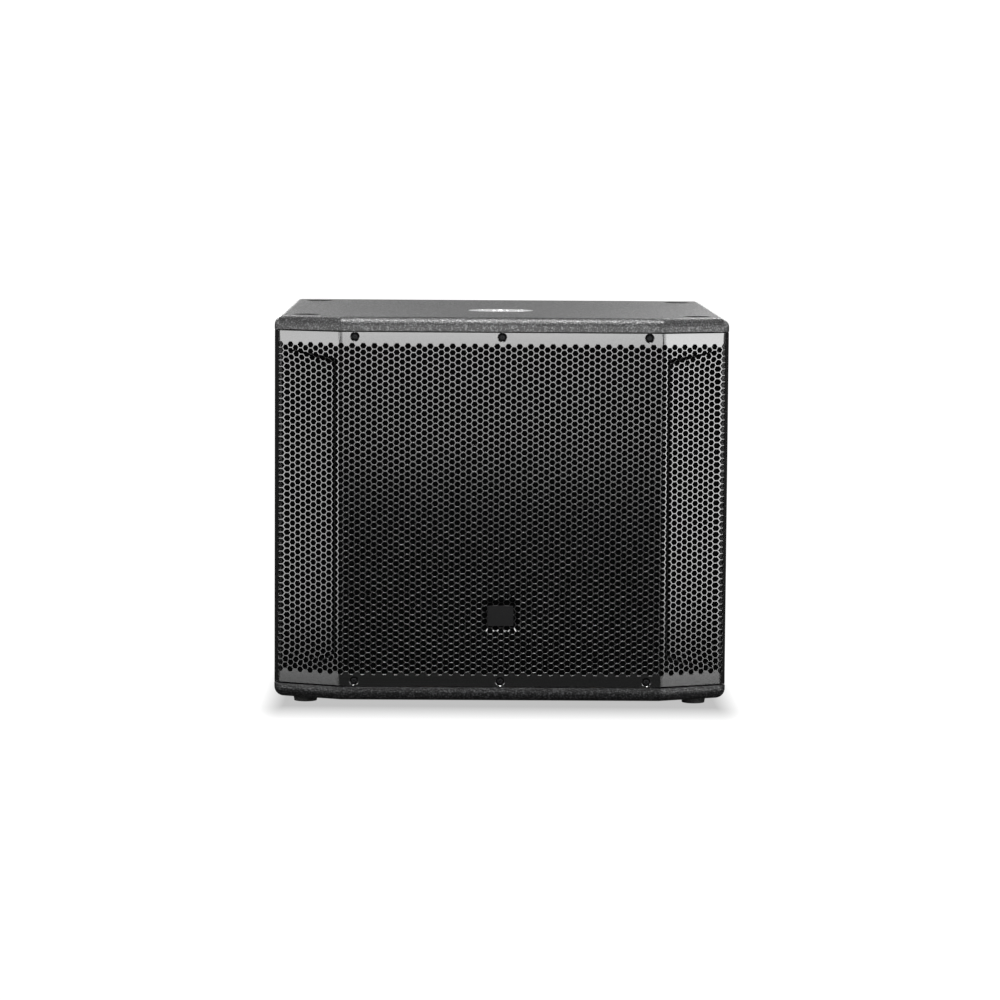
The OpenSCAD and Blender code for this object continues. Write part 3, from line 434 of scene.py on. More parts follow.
def plyFinish(name, look):
    # sawn birch plywood: grain along the board and dark glue lines across the edge
    material, tree, shader, place, placeGroup = startMaterial(name)
    stretch = addNode(tree, "ShaderNodeMapping", (-1000, -200), inputs={"Scale": look["grainStretch"]})
    fibres = addNode(tree, "ShaderNodeTexNoise", (-750, -200),
                     inputs={"Scale": 60.0, "Detail": 6.0, "Roughness": 0.65})
    join(tree, (place.outputs["Object"], stretch.inputs[0]), (stretch.outputs[0], fibres.inputs["Vector"]))
    grain = placeGroup("grain", (-800, 200), {"Cloud Scale": 6.0, "Grain Scale": 500.0})
    colour = mixColours(tree, fibres.outputs["Fac"], look["dark"], look["light"], (-300, 300))
    colour = mixColours(tree, calc(tree, "MULTIPLY", grain.outputs["Cloud"], 0.3), colour, look["dark"], (-100, 300))
    rough = remap(tree, fibres.outputs["Fac"], 0.3, 0.7, 0.55, 0.75, (-300, -100))
    join(tree, (colour, shader.inputs["Base Color"]), (rough, shader.inputs["Roughness"]))
    bumpInto(tree, shader, fibres.outputs["Fac"], 0.3, 0.0002)
    return material


barePly = {"dark": (0.36, 0.23, 0.12), "light": (0.62, 0.46, 0.28), "grainStretch": (1.0, 0.1, 1.0)}


def litLens(name, look):
    # a clear coloured lens with a low glow, uneven like a moulded diffuser
    material, tree, shader, place, placeGroup = startMaterial(name)
    grain = placeGroup("grain", (-800, 200), {"Cloud Scale": 300.0, "Grain Scale": 1500.0})
    colour = mixColours(tree, grain.outputs["Cloud"], look["dark"], look["light"], (-300, 300))
    rough = remap(tree, grain.outputs["Grain"], 0.3, 0.7, 0.12, 0.25, (-300, -100))
    join(tree, (colour, shader.inputs["Base Color"]), (rough, shader.inputs["Roughness"]),
         (colour, shader.inputs["Emission Color"]))
    bumpInto(tree, shader, grain.outputs["Grain"], 0.05, 0.00003)
    shader.inputs["Emission Strength"].default_value = look["glow"]
    return material


ledLens = {"dark": (0.02, 0.25, 0.05), "light": (0.05, 0.45, 0.10), "glow": 0.25}

finishes = {
    "textured_coating": paintedFinish("cabinetCoating", cabinetCoating),
    "black_ply": paintedFinish("baffleBlack", baffleBlack),
    "bare_ply": plyFinish("barePly", barePly),
    "damping_felt": clothFinish("dampingFelt", felt),
    "powder_coat": paintedFinish("grilleCoating", grilleCoating),
    "foam": clothFinish("grilleFoam", grilleFoam),
    "black_steel": paintedFinish("blackOxide", blackOxide),
    "badge_finish": paintedFinish("badgeSatin", badgeSatin),
    "pole_metal": brushedMetal("poleAluminium", poleAluminium),
    "zinc": brushedMetal("zincSteel", zincSteel),
    "moulded_black": paintedFinish("mouldedBlack", mouldedBlack),
    "foot_rubber": paintedFinish("footRubber", matteRubber),
    "cast_frame": paintedFinish("castFrame", castFrame),
    "motor_steel": brushedMetal("motorSteel", motorSteel),
    "ferrite": paintedFinish("ferriteBlack", ferriteBlack),
    "cone_paper": clothFinish("conePaper", conePaper),
    "former_film": paintedFinish("formerFilm", formerFilm),
    "copper": brushedMetal("windingCopper", windingCopper),
    "surround_cloth": clothFinish("treatedCloth", treatedCloth),
    "spider_cloth": clothFinish("spiderCloth", spiderCloth),
    "cable_jacket": paintedFinish("cableJacket", cableJacket),
    "amp_paint": paintedFinish("ampPaint", ampPaint),
    "zinc_sheet": brushedMetal("zincSheet", zincSheet),
    "circuit_board": paintedFinish("boardGreen", boardGreen),
    "socket_black": paintedFinish("socketPlastic", socketPlastic),
    "latch_metal": brushedMetal("latchMetal", zincSteel),
    "power_socket_blue": paintedFinish("powerBlue", powerBlue),
    "rocker_black": paintedFinish("rockerPlastic", rockerPlastic),
    "knob_black": paintedFinish("knobPlastic", knobPlastic),
    "bushing_metal": brushedMetal("bushingMetal", turnedBrass),
    "display_lens": paintedFinish("displayGlass", displayGlass),
    "button_grey": paintedFinish("buttonGrey", buttonGrey),
    "led_lens": litLens("ledLens", ledLens),
}
print("finishes made:", len(finishes))


# Mesh helpers

def makePiece(name, mesh, finish, body="cabinet", stands=()):
    obj = bpy.data.objects.new(name, mesh)
    bpy.context.scene.collection.objects.link(obj)
    mesh.materials.clear()
    mesh.materials.append(finishes[finish])
    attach(obj, body)
    if stands:
        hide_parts(*stands)
    return obj


def meshFrom(bm, name):
    mesh = bpy.data.meshes.new(name)
    bm.to_mesh(mesh)
    bm.free()
    return mesh


def shadeByAngle(mesh, degrees):
    mesh.shade_smooth()
    mesh.set_sharp_from_angle(angle=math.radians(degrees))


def shadeByArea(mesh, degrees=32):
    # smooth shading in which wide faces stay flat and only the narrow ones beside them turn
    limit = math.cos(math.radians(degrees))
    mesh.shade_smooth()
    around = [[] for _ in mesh.vertices]
    for face in mesh.polygons:
        for index in face.vertices:
            around[index].append(face)
    normals = []
    for face in mesh.polygons:
        for index in face.vertices:
            total = Vector()
            for other in around[index]:
                if other.normal.dot(face.normal) > limit:
                    total += other.normal * other.area
            normals.append(total.normalized())
    mesh.normals_split_custom_set(normals)


def smoothCopy(nodeName, degrees=32):
    # a CAD node's own shape, its loose triangles merged so that its curves shade smoothly
    bm = bmesh.new()
    bm.from_mesh(cadNodes[nodeName].data)
    bmesh.ops.remove_doubles(bm, verts=bm.verts, dist=0.00001)
    bmesh.ops.dissolve_limit(bm, angle_limit=math.radians(0.5), verts=bm.verts, edges=bm.edges)
    bmesh.ops.triangulate(bm, faces=bm.faces)
    mesh = meshFrom(bm, nodeName + "Smooth")
    shadeByArea(mesh, degrees)
    return mesh


# Geometry node helpers

def newTree(name, inputs):
    tree = bpy.data.node_groups.new(name, "GeometryNodeTree")
    tree.interface.new_socket("Geometry", in_out="INPUT", socket_type="NodeSocketGeometry")
    tree.interface.new_socket("Geometry", in_out="OUTPUT", socket_type="NodeSocketGeometry")
    for socketName, kind in inputs:
        tree.interface.new_socket(socketName, in_out="INPUT", socket_type="NodeSocket" + kind)
    return tree, addNode(tree, "NodeGroupInput", (-1600, 0)), addNode(tree, "NodeGroupOutput", (1600, 0))


def growTop(tree, shape, top, rise, ratio, **scaling):
    # pulls up the top faces and then scales them, and gives back the new shape and its new top
    extrude = addNode(tree, "GeometryNodeExtrudeMesh", mode="FACES")
    scale = addNode(tree, "GeometryNodeScaleElements", domain="FACE", **scaling)
    feed(tree, extrude.inputs["Offset Scale"], rise)
    feed(tree, scale.inputs["Scale"], ratio)
    join(tree, (shape, extrude.inputs["Mesh"]), (extrude.outputs["Mesh"], scale.inputs["Geometry"]),
         (extrude.outputs["Top"], scale.inputs["Selection"]))
    if top is not None:
        join(tree, (top, extrude.inputs["Selection"]))
    return scale.outputs[0], extrude.outputs["Top"]


def closeUnder(tree, foot, shape, distance):
    # a turned copy of the starting face closes the bottom
    under = addNode(tree, "GeometryNodeFlipFaces")
    both = addNode(tree, "GeometryNodeJoinGeometry")
    whole = addNode(tree, "GeometryNodeMergeByDistance", inputs={"Distance": distance})
    join(tree, (foot, under.inputs[0]), (under.outputs[0], both.inputs[0]), (shape, both.inputs[0]),
         (both.outputs[0], whole.inputs[0]))
    return whole.outputs[0]


def copyOntoPoints(tree, points, shape, material, out, merge=None, **placing):
    # a copy on every point, made real, merged where asked for, and painted
    copies = addNode(tree, "GeometryNodeInstanceOnPoints")
    solid = addNode(tree, "GeometryNodeRealizeInstances")
    paint = addNode(tree, "GeometryNodeSetMaterial")
    for socket, value in placing.items():
        join(tree, (value, copies.inputs[socket.capitalize()]))
    join(tree, (points, copies.inputs["Points"]), (shape, copies.inputs["Instance"]),
         (copies.outputs[0], solid.inputs[0]), (material, paint.inputs["Material"]),
         (paint.outputs[0], out.inputs[0]))
    whole = solid.outputs[0]
    if merge is not None:
        touching = addNode(tree, "GeometryNodeMergeByDistance", inputs={"Distance": merge})
        join(tree, (whole, touching.inputs[0]))
        whole = touching.outputs[0]
    join(tree, (whole, paint.inputs[0]))


def runTree(tree, name, values, start=None):
    # evaluates the tree on a start mesh and gives back a plain mesh
    holder = bpy.data.objects.new(name, start or bpy.data.meshes.new(name))
    bpy.context.scene.collection.objects.link(holder)
    modifier = holder.modifiers.new("build", "NODES")
    modifier.node_group = tree
    for item in tree.interface.items_tree:
        if item.in_out == "INPUT" and item.name in values:
            modifier[item.identifier] = values[item.name]
    depsgraph = bpy.context.evaluated_depsgraph_get()
    mesh = bpy.data.meshes.new_from_object(holder.evaluated_get(depsgraph), depsgraph=depsgraph)
    bpy.data.objects.remove(holder)
    mesh.name = name
    return mesh


# Grille

grille = {
    "columnPitch": 7.275 * mm, "holePitch": 8.40 * mm, "holeWidth": 6.87 * mm, "columns": 83, "longRows": 52,
    "patternShift": 0.9 * mm, "joinWithin": 0.02 * mm,
    "thickness": 1.5 * mm, "chamfer": 0.3 * mm, "hem": 4.2 * mm, "edgeRound": 0.5 * mm, "edgeCorner": 0.15 * mm,
    "halfHeight": 232.5 * mm, "foldAt": 210.975 * mm, "wingLength": 89.5 * mm, "wingAngle": 23.3,
    "returnAngle": 65.0, "returnLength": 11.9 * mm, "bend": 2.8 * mm,
    "pressStart": 5.5 * mm, "pressSlope": 7.6 * mm, "pressDepth": 6.2 * mm, "pressLow": 198.0 * mm,
    "pressRise": 13.0 * mm, "drawIn": 2.5 * mm, "fadeBeforeEnd": 12 * mm, "fadeInside": 14 * mm,
    "fadeOutside": 4 * mm, "cutReach": 9 * mm, "cutAbove": 170 * mm,
    "dimpleRadius": 6.4 * mm, "dimpleRings": (6.2 * mm, 5.0 * mm, 3.9 * mm), "dimpleFlat": 3.7 * mm,
    "dimpleDepth": 2.45 * mm, "screwX": 192.0 * mm, "screwZ": 226.0 * mm, "screwHole": 2.8 * mm,
    "pocketDepth": 3.6 * mm, "pocketFlat": 3.6 * mm, "pocketReach": 6.5 * mm,
}
rowsAtEnd = grille["longRows"] - (grille["columns"] // 2 + 1) % 2  # holes in the outermost column
sheetLow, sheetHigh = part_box("grille")
badgeLow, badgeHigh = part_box("badge")
grilleY = sheetLow.y
midZ = (sheetLow.z + sheetHigh.z) / 2
badgeMid = (badgeLow + badgeHigh) / 2


def perforationTree():
    # hexagonal cells on a staggered lattice: each has a chamfered hole and joins its neighbours
    tree, given, out = newTree("perforations", [
        ("Columns", "Int"), ("Rows", "Int"), ("Column Pitch", "Float"), ("Hole Pitch", "Float"),
        ("Hole Width", "Float"), ("Thickness", "Float"), ("Chamfer", "Float"), ("Material", "Material")])
    value = given.outputs

    lattice = addNode(tree, "GeometryNodeMeshGrid")
    for axis, count, pitch in (("X", "Columns", "Column Pitch"), ("Y", "Rows", "Hole Pitch")):
        length = calc(tree, "MULTIPLY", calc(tree, "SUBTRACT", value[count], 1.0), value[pitch])
        join(tree, (value[count], lattice.inputs["Vertices " + axis]), (length, lattice.inputs["Size " + axis]))
    position = addNode(tree, "GeometryNodeInputPosition")
    split = addNode(tree, "ShaderNodeSeparateXYZ")
    join(tree, (position.outputs[0], split.inputs[0]))
    column = calc(tree, "ROUND", calc(tree, "DIVIDE", split.outputs["X"], value["Column Pitch"]))
    even = calc(tree, "SUBTRACT", 1.0, calc(tree, "PINGPONG", column, 1.0))
    shift = addNode(tree, "ShaderNodeCombineXYZ")
    join(tree, (calc(tree, "MULTIPLY", calc(tree, "MULTIPLY", even, value["Hole Pitch"]), -0.5), shift.inputs["Y"]))
    stagger = addNode(tree, "GeometryNodeSetPosition")
    join(tree, (lattice.outputs["Mesh"], stagger.inputs["Geometry"]), (shift.outputs[0], stagger.inputs["Offset"]))
    lowest = calc(tree, "MULTIPLY", calc(tree, "SUBTRACT", value["Rows"], 0.5),
                  calc(tree, "MULTIPLY", value["Hole Pitch"], -0.5))
    below = addNode(tree, "FunctionNodeCompare", data_type="FLOAT", operation="LESS_THAN")
    join(tree, (split.outputs["Y"], below.inputs["A"]), (lowest, below.inputs["B"]))
    trim = addNode(tree, "GeometryNodeDeleteGeometry", domain="POINT")
    join(tree, (stagger.outputs[0], trim.inputs[0]), (below.outputs[0], trim.inputs["Selection"]))

    outerRadius = calc(tree, "DIVIDE", value["Hole Pitch"], math.sqrt(3))
    holeRadius = calc(tree, "DIVIDE", value["Hole Width"], math.sqrt(3))
    rimRadius = calc(tree, "ADD", holeRadius, value["Chamfer"])
    hexagon = addNode(tree, "GeometryNodeMeshCircle", fill_type="NGON", inputs={"Vertices": 6})
    join(tree, (outerRadius, hexagon.inputs["Radius"]))
    shape, top = hexagon.outputs[0], None
    walls = ((0.0, calc(tree, "DIVIDE", rimRadius, outerRadius)),
             (calc(tree, "MULTIPLY", value["Chamfer"], -1.0), calc(tree, "DIVIDE", holeRadius, rimRadius)),
             (calc(tree, "SUBTRACT", value["Chamfer"], value["Thickness"]), 1.0),
             (0.0, calc(tree, "DIVIDE", outerRadius, holeRadius)))
    for depth, ratio in walls:
        shape, top = growTop(tree, shape, top, depth, ratio)
    opened = addNode(tree, "GeometryNodeDeleteGeometry", domain="FACE")
    join(tree, (shape, opened.inputs[0]), (top, opened.inputs["Selection"]))

    copyOntoPoints(tree, trim.outputs[0], opened.outputs[0], value["Material"], out, merge=grille["joinWithin"])
    return tree


def planPoint(u):
    # the sheet's line seen from above at a distance u from its middle: place across, place back, angle
    g = grille
    side = -1 if u < 0 else 1
    x = y = angle = 0.0
    left = abs(u)
    bends = ((g["foldAt"], g["wingAngle"]), (g["foldAt"] + g["wingLength"], g["returnAngle"]))
    at = 0.0
    for fold, newAngle in bends:
        straight = min(max(left - at, 0.0), fold - g["bend"] - at)
        x += straight * math.cos(angle)
        y += straight * math.sin(angle)
        at = fold - g["bend"]
        if left <= at:
            return side * x, y, side * angle
        turn = math.radians(newAngle) - angle
        share = min((left - at) / (2 * g["bend"]), 1.0)
        radius = 2 * g["bend"] / turn
        x += radius * (math.sin(angle + turn * share) - math.sin(angle))
        y -= radius * (math.cos(angle + turn * share) - math.cos(angle))
        angle += turn * share
        at = fold + g["bend"]
        if left <= at:
            return side * x, y, side * angle
    rest = left - at
    return side * (x + rest * math.cos(angle)), y + rest * math.sin(angle), side * angle


def smoothStep(value, low, high):
    t = min(max((value - low) / (high - low), 0.0), 1.0)
    return t * t * (3 - 2 * t)


def pressedDepth(u, v):
    # how far the sheet is pressed in: wing recesses, screw dimples and the badge's pocket
    g = grille
    depth = 0.0
    s = abs(u) - g["foldAt"]
    if 0 < s < g["wingLength"]:
        deep = g["pressStart"] + g["pressSlope"]
        facet = g["pressDepth"] * (g["wingLength"] - s) / (g["wingLength"] - deep)
        step = g["pressDepth"] * (s - g["pressStart"]) / g["pressSlope"]
        border = g["pressLow"] + g["pressRise"] * (s - g["pressStart"]) / (g["wingLength"] - g["pressStart"])
        fade = g["pressSlope"] * max(g["wingLength"] - s, 0.0001) / (g["wingLength"] - deep)
        edge = facet * (border - abs(v)) / fade
        depth = max(0.0, min(facet, step, edge))
    for x in (-g["screwX"], 0.0, g["screwX"]):
        for z in (-g["screwZ"], g["screwZ"]):
            away = math.hypot(u - x, v - z)
            if away < g["dimpleRadius"]:
                slope = (g["dimpleRadius"] - away) / (g["dimpleRadius"] - g["dimpleFlat"])
                depth = g["dimpleDepth"] * min(slope, 1.0)
    offX = abs(u - badgeMid.x) - (badgeHigh.x - badgeLow.x) / 2
    offZ = abs(v + midZ - badgeMid.z) - (badgeHigh.z - badgeLow.z) / 2
    outside = math.hypot(max(offX, 0.0), max(offZ, 0.0))
    if outside < g["pocketReach"]:
        depth = g["pocketDepth"] * (1 - smoothStep(outside, g["pocketFlat"], g["pocketReach"]))
    return depth


def drawnIn(u, v):
    # pressing a wing pulls its pattern in towards the fold
    g = grille
    s = abs(u) - g["foldAt"]
    deep = g["pressStart"] + g["pressSlope"] + g["drawIn"]
    if s <= g["pressStart"] or s >= g["wingLength"]:
        return u
    share = min((s - g["pressStart"]) / (deep - g["pressStart"]), 1.0)
    share *= 1 - smoothStep(s, g["wingLength"] - g["fadeBeforeEnd"], g["wingLength"])
    share *= 1 - smoothStep(abs(v), g["pressLow"] - g["fadeInside"], g["pressLow"] + g["fadeOutside"])
    return u - math.copysign(g["drawIn"] * share, u)


def ontoSheet(u, v, w):
    # from the flat sheet (across, up, inwards) to its folded and pressed place
    u = drawnIn(u, v)
    x, y, angle = planPoint(u)
    inwards = w + pressedDepth(u, v)
    return Vector((x - math.sin(angle) * inwards, grilleY + y + math.cos(angle) * inwards, midZ + v))


def zigzag(sign):
    # top or bottom limit of the perforated field, and the plain ends beyond it
    g = grille
    half = g["columns"] // 2
    quarter = g["holePitch"] / math.sqrt(3) / 2
    low = (g["longRows"] - 1) * g["holePitch"] / 2
    end = g["foldAt"] + g["wingLength"] + g["returnLength"]
    corner = sign * rowsAtEnd * g["holePitch"] / 2
    line = [(-end, corner)]
    for column in range(-half, half + 1):
        reach = low + (g["holePitch"] / 2 if column % 2 else 0.0)
        for offset in (-quarter, quarter):
            line.append((column * g["columnPitch"] + offset + g["patternShift"], sign * reach))
    line.append((end, corner))
    return line


def ringPoints(x, z, radius, count=28):
    return [(x + radius * math.cos(2 * math.pi * i / count), z + radius * math.sin(2 * math.pi * i / count))
            for i in range(count)]


def fillBetween(bm, outline, holes, w, flip):
    # triangles inside an outline and outside round holes, on the flat sheet
    points = [Vector(p) for p in outline]
    edges = [(i, (i + 1) % len(outline)) for i in range(len(outline))]
    for hole in holes:
        first = len(points)
        points += [Vector(p) for p in hole]
        edges += [(first + i, first + (i + 1) % len(hole)) for i in range(len(hole))]
    corners, _, faces, *_ = delaunay_2d_cdt(points, edges, [], 1, 1e-7)
    verts = [bm.verts.new((p.x, p.y, -w)) for p in corners]
    centres = [(sum(p[0] for p in hole) / len(hole), sum(p[1] for p in hole) / len(hole)) for hole in holes]
    for face in faces:
        middle = sum((corners[i] for i in face), Vector((0, 0))) / len(face)
        if any(math.hypot(middle.x - c[0], middle.y - c[1]) < grille["dimpleRadius"] * 0.98 for c in centres):
            continue
        bm.faces.new([verts[i] for i in (face if not flip else reversed(face))])


def bridgeLines(bm, first, second, closed=True, smooth=False):
    verts = [[bm.verts.new(p) for p in line] for line in (first, second)]
    count = len(first)
    for i in range(count if closed else count - 1):
        j = (i + 1) % count
        bm.faces.new((verts[0][i], verts[0][j], verts[1][j], verts[1][i])).smooth = smooth


def addStrips(bm):
    # plain strips above, below and beside the holes, with the dimples' rings and the turned edges
    g = grille
    end = g["foldAt"] + g["wingLength"] + g["returnLength"]
    frontEdge = g["halfHeight"] - g["edgeRound"]
    backEdge = g["halfHeight"] - g["thickness"]
    steps = [-end] + [c * g["columnPitch"] for c in range(-(g["columns"] // 2), g["columns"] // 2 + 1)] + [end]
    for sign in (-1, 1):
        limit = zigzag(sign)
        rings = [[ringPoints(x, sign * g["screwZ"], g["dimpleRadius"]) for x in (-g["screwX"], 0.0, g["screwX"])]]
        for w, edge, flip in ((0.0, frontEdge, sign < 0), (g["thickness"], backEdge, sign > 0)):
            fillBetween(bm, limit + [(u, sign * edge) for u in reversed(steps)], rings[0], w, flip)
        for x in (-g["screwX"], 0.0, g["screwX"]):
            radii = [g["dimpleRadius"], *g["dimpleRings"], g["dimpleFlat"], g["screwHole"]]
            for w in (0.0, g["thickness"]):
                for outer, inner in zip(radii, radii[1:]):
                    bridgeLines(bm, *[[(p[0], p[1], -w) for p in ringPoints(x, sign * g["screwZ"], r)]
                                      for r in (outer, inner)], smooth=True)
            hole = ringPoints(x, sign * g["screwZ"], g["screwHole"])
            bridgeLines(bm, [(*p, 0.0) for p in hole], [(*p, -g["thickness"]) for p in hole])
        profile = [(frontEdge, 0.0), (g["halfHeight"] - g["edgeCorner"], g["edgeCorner"]),
                   (g["halfHeight"], g["edgeRound"]),
                   (g["halfHeight"], g["hem"]), (backEdge, g["hem"]), (backEdge, g["thickness"])]
        for (v0, w0), (v1, w1) in zip(profile, profile[1:]):
            bridgeLines(bm, [(u, sign * v0, -w0) for u in steps], [(u, sign * v1, -w1) for u in steps], closed=False)
    radius = g["holePitch"] / math.sqrt(3)
    last = g["columns"] // 2 * g["columnPitch"]
    for side in (-1, 1):
        for w in (0.0, g["thickness"]):
            line = []
            for row in range(rowsAtEnd):
                v = (row - (rowsAtEnd - 1) / 2) * g["holePitch"]
                line += [(side * (last + radius / 2) + g["patternShift"], v - g["holePitch"] / 2),
                         (side * (last + radius) + g["patternShift"], v)]
            line.append((side * (last + radius / 2) + g["patternShift"], rowsAtEnd * g["holePitch"] / 2))
            bridgeLines(bm, [(*p, -w) for p in line], [(side * end, p[1], -w) for p in line], closed=False)


def cutLines():
    # straight lines on the flat sheet where it folds or is pressed: a point and a direction
    g = grille
    outer = g["foldAt"] + g["wingLength"]
    deep = g["foldAt"] + g["pressStart"] + g["pressSlope"] + g["drawIn"]
    start = g["foldAt"] + g["pressStart"]
    high = g["pressLow"] + g["pressRise"]
    inner = g["pressLow"] - g["pressSlope"] + g["pressRise"] * g["pressSlope"] / (g["wingLength"] - g["pressStart"])
    lines = []
    for side in (-1, 1):
        for u in (g["foldAt"], g["foldAt"] + g["bend"], start, deep, outer - g["bend"], outer, outer + g["bend"]):
            lines.append(((side * u, 0.0), (0.0, 1.0)))
        for sign in (-1, 1):
            for a, b in (((start, g["pressLow"]), (outer, high)), ((deep, inner), (outer, high)),
                         ((start, g["pressLow"]), (deep, inner))):
                lines.append(((side * a[0], sign * a[1]), (side * (b[0] - a[0]), sign * (b[1] - a[1]))))
    return lines


def cutAlong(bm, point, direction, within):
    # splits the faces that a line crosses, only near the wing that it belongs to
    normal = Vector((direction[1], -direction[0], 0.0)).normalized()
    faces = [f for f in bm.faces if within(f)]
    edges = {e for f in faces for e in f.edges}
    verts = {v for f in faces for v in f.verts}
    bmesh.ops.bisect_plane(bm, geom=[*verts, *edges, *faces], plane_co=(*point, 0.0), plane_no=normal, dist=1e-7)


def keepBetween(bm, seam, side):
    # the middle of the sheet (side 0), or the wing on that side of the seam
    for edge in (-1, 1) if side == 0 else (side,):
        bmesh.ops.bisect_plane(bm, geom=[*bm.verts, *bm.edges, *bm.faces], plane_co=(edge * seam, 0, 0),
                               plane_no=(edge, 0, 0), dist=1e-7, clear_outer=side == 0, clear_inner=side != 0)


def buildGrille():
    g = grille
    flat = runTree(perforationTree(), "flatSheet", {
        "Columns": g["columns"], "Rows": g["longRows"], "Column Pitch": g["columnPitch"],
        "Hole Pitch": g["holePitch"], "Hole Width": g["holeWidth"], "Thickness": g["thickness"],
        "Chamfer": g["chamfer"], "Material": finishes["powder_coat"]})
    bm = bmesh.new()
    bm.from_mesh(flat)
    bmesh.ops.translate(bm, verts=bm.verts, vec=(g["patternShift"], 0, 0))
    addStrips(bm)
    bmesh.ops.remove_doubles(bm, verts=bm.verts, dist=g["joinWithin"])
    for point, direction in cutLines():
        side, sign = math.copysign(1, point[0]), math.copysign(1, point[1])

        def near(face):  # upright cuts reach a little to each side, and slanted ones stay on their own corner
            middle = face.calc_center_median()
            if direction[0] == 0.0:
                return abs(middle.x - point[0]) < g["cutReach"]
            return side * middle.x > g["foldAt"] and sign * middle.y > g["cutAbove"]

        cutAlong(bm, point, direction, near)
    for name, side in (("grilleLeftWing", -1), ("grilleMiddle", 0), ("grilleRightWing", 1)):
        part = bm.copy()
        keepBetween(part, g["foldAt"] - g["bend"], side)
        bmesh.ops.holes_fill(part, edges=[e for e in part.edges if e.is_boundary], sides=0)
        bmesh.ops.recalc_face_normals(part, faces=part.faces)
        for vert in part.verts:
            vert.co = ontoSheet(vert.co.x, vert.co.y, -vert.co.z)
        piece = makePiece(name, meshFrom(part, name), "powder_coat", stands=["grille"])
        piece.data.calc_loop_triangles()
        print(name, len(piece.data.loop_triangles), "triangles")
    bm.free()


buildGrille()

# Foam behind the grille

foam = {"gap": 2.6 * mm, "thickness": 5.0 * mm, "halfWidth": 298.0 * mm, "halfHeight": 217.0 * mm, "step": 5.0 * mm}


def buildFoam():
    stepsU = int(foam["halfWidth"] / foam["step"])
    stepsV = int(foam["halfHeight"] / foam["step"])
    acrossU = [i * foam["halfWidth"] / stepsU for i in range(-stepsU, stepsU + 1)]
    upV = [j * foam["halfHeight"] / stepsV for j in range(-stepsV, stepsV + 1)]
    bm = bmesh.new()
    front, back = [[[bm.verts.new(ontoSheet(u, v, grille["thickness"] + w)) for v in upV] for u in acrossU]
                   for w in (foam["gap"], foam["gap"] + foam["thickness"])]
    for layer in (front, back):
        for left, right in zip(layer, layer[1:]):
            for j in range(2 * stepsV):
                bm.faces.new((left[j], right[j], right[j + 1], left[j + 1]))
    rims = (([r[0] for r in front], [r[0] for r in back]), ([r[-1] for r in front], [r[-1] for r in back]),
            (front[0], back[0]), (front[-1], back[-1]))
    for one, two in rims:
        for i in range(len(one) - 1):
            bm.faces.new((one[i], one[i + 1], two[i + 1], two[i]))
    bmesh.ops.recalc_face_normals(bm, faces=bm.faces)
    makePiece("foamLayer", meshFrom(bm, "foamLayer"), "foam", stands=["grille_foam"])


buildFoam()
print("grille and foam made")

# Screws

# each screw's head is as wide as the CAD screw's; these are shares of that half width
screwShape = {
    "button": ((0.83, 0.0), (0.83, 0.12), (0.76, 0.22), (0.62, 0.28), (0.44, 0.30)),
    "pan": ((1.0, 0.0), (1.0, 0.26), (0.93, 0.45), (0.76, 0.57), (0.54, 0.60)),
    "flat": ((0.62, 0.0), (0.97, 0.42), (1.0, 0.45), (0.99, 0.48), (0.97, 0.49)),
}
screwSizes = {"shankRadius": 0.55, "shankLength": 1.2, "recessRadius": 0.44, "recessDepth": 0.3, "recessTaper": 0.9,
              "lobeDepth": 0.13}
screwSets = {
    "grilleScrews": {"node": "grille_screws", "facing": (0, -1, 0), "shape": "button", "finish": "black_steel"},
    "poleScrews": {"node": "pole_socket_screws", "facing": (0, 0, 1), "shape": "flat", "finish": "zinc"},
    "footScrews": {"node": "foot_screws", "facing": (0, 0, -1), "shape": "pan", "finish": "zinc"},
    "leftHandleScrews": {"node": "handle_screws", "facing": (-1, 0, 0), "shape": "pan", "finish": "black_steel"},
    "rightHandleScrews": {"node": "handle_screws", "facing": (1, 0, 0), "shape": "pan", "finish": "black_steel"},
    "rearPanelScrews": {"node": "amp_screws", "facing": (0, 1, 0), "shape": "pan", "finish": "black_steel"},
}


def islandBoxes(nodeName):
    # the box of each separate solid in a CAD node
    bm = bmesh.new()
    bm.from_mesh(cadNodes[nodeName].data)
    bmesh.ops.remove_doubles(bm, verts=bm.verts, dist=0.00001)
    left, boxes = set(bm.verts), []
    while left:
        stack = [left.pop()]
        points = []
        while stack:
            vert = stack.pop()
            points.append(vert.co.copy())
            for edge in vert.link_edges:
                other = edge.other_vert(vert)
                if other in left:
                    left.discard(other)
                    stack.append(other)
        boxes.append((Vector([min(p[i] for p in points) for i in range(3)]),
                      Vector([max(p[i] for p in points) for i in range(3)])))
    bm.free()
    return boxes


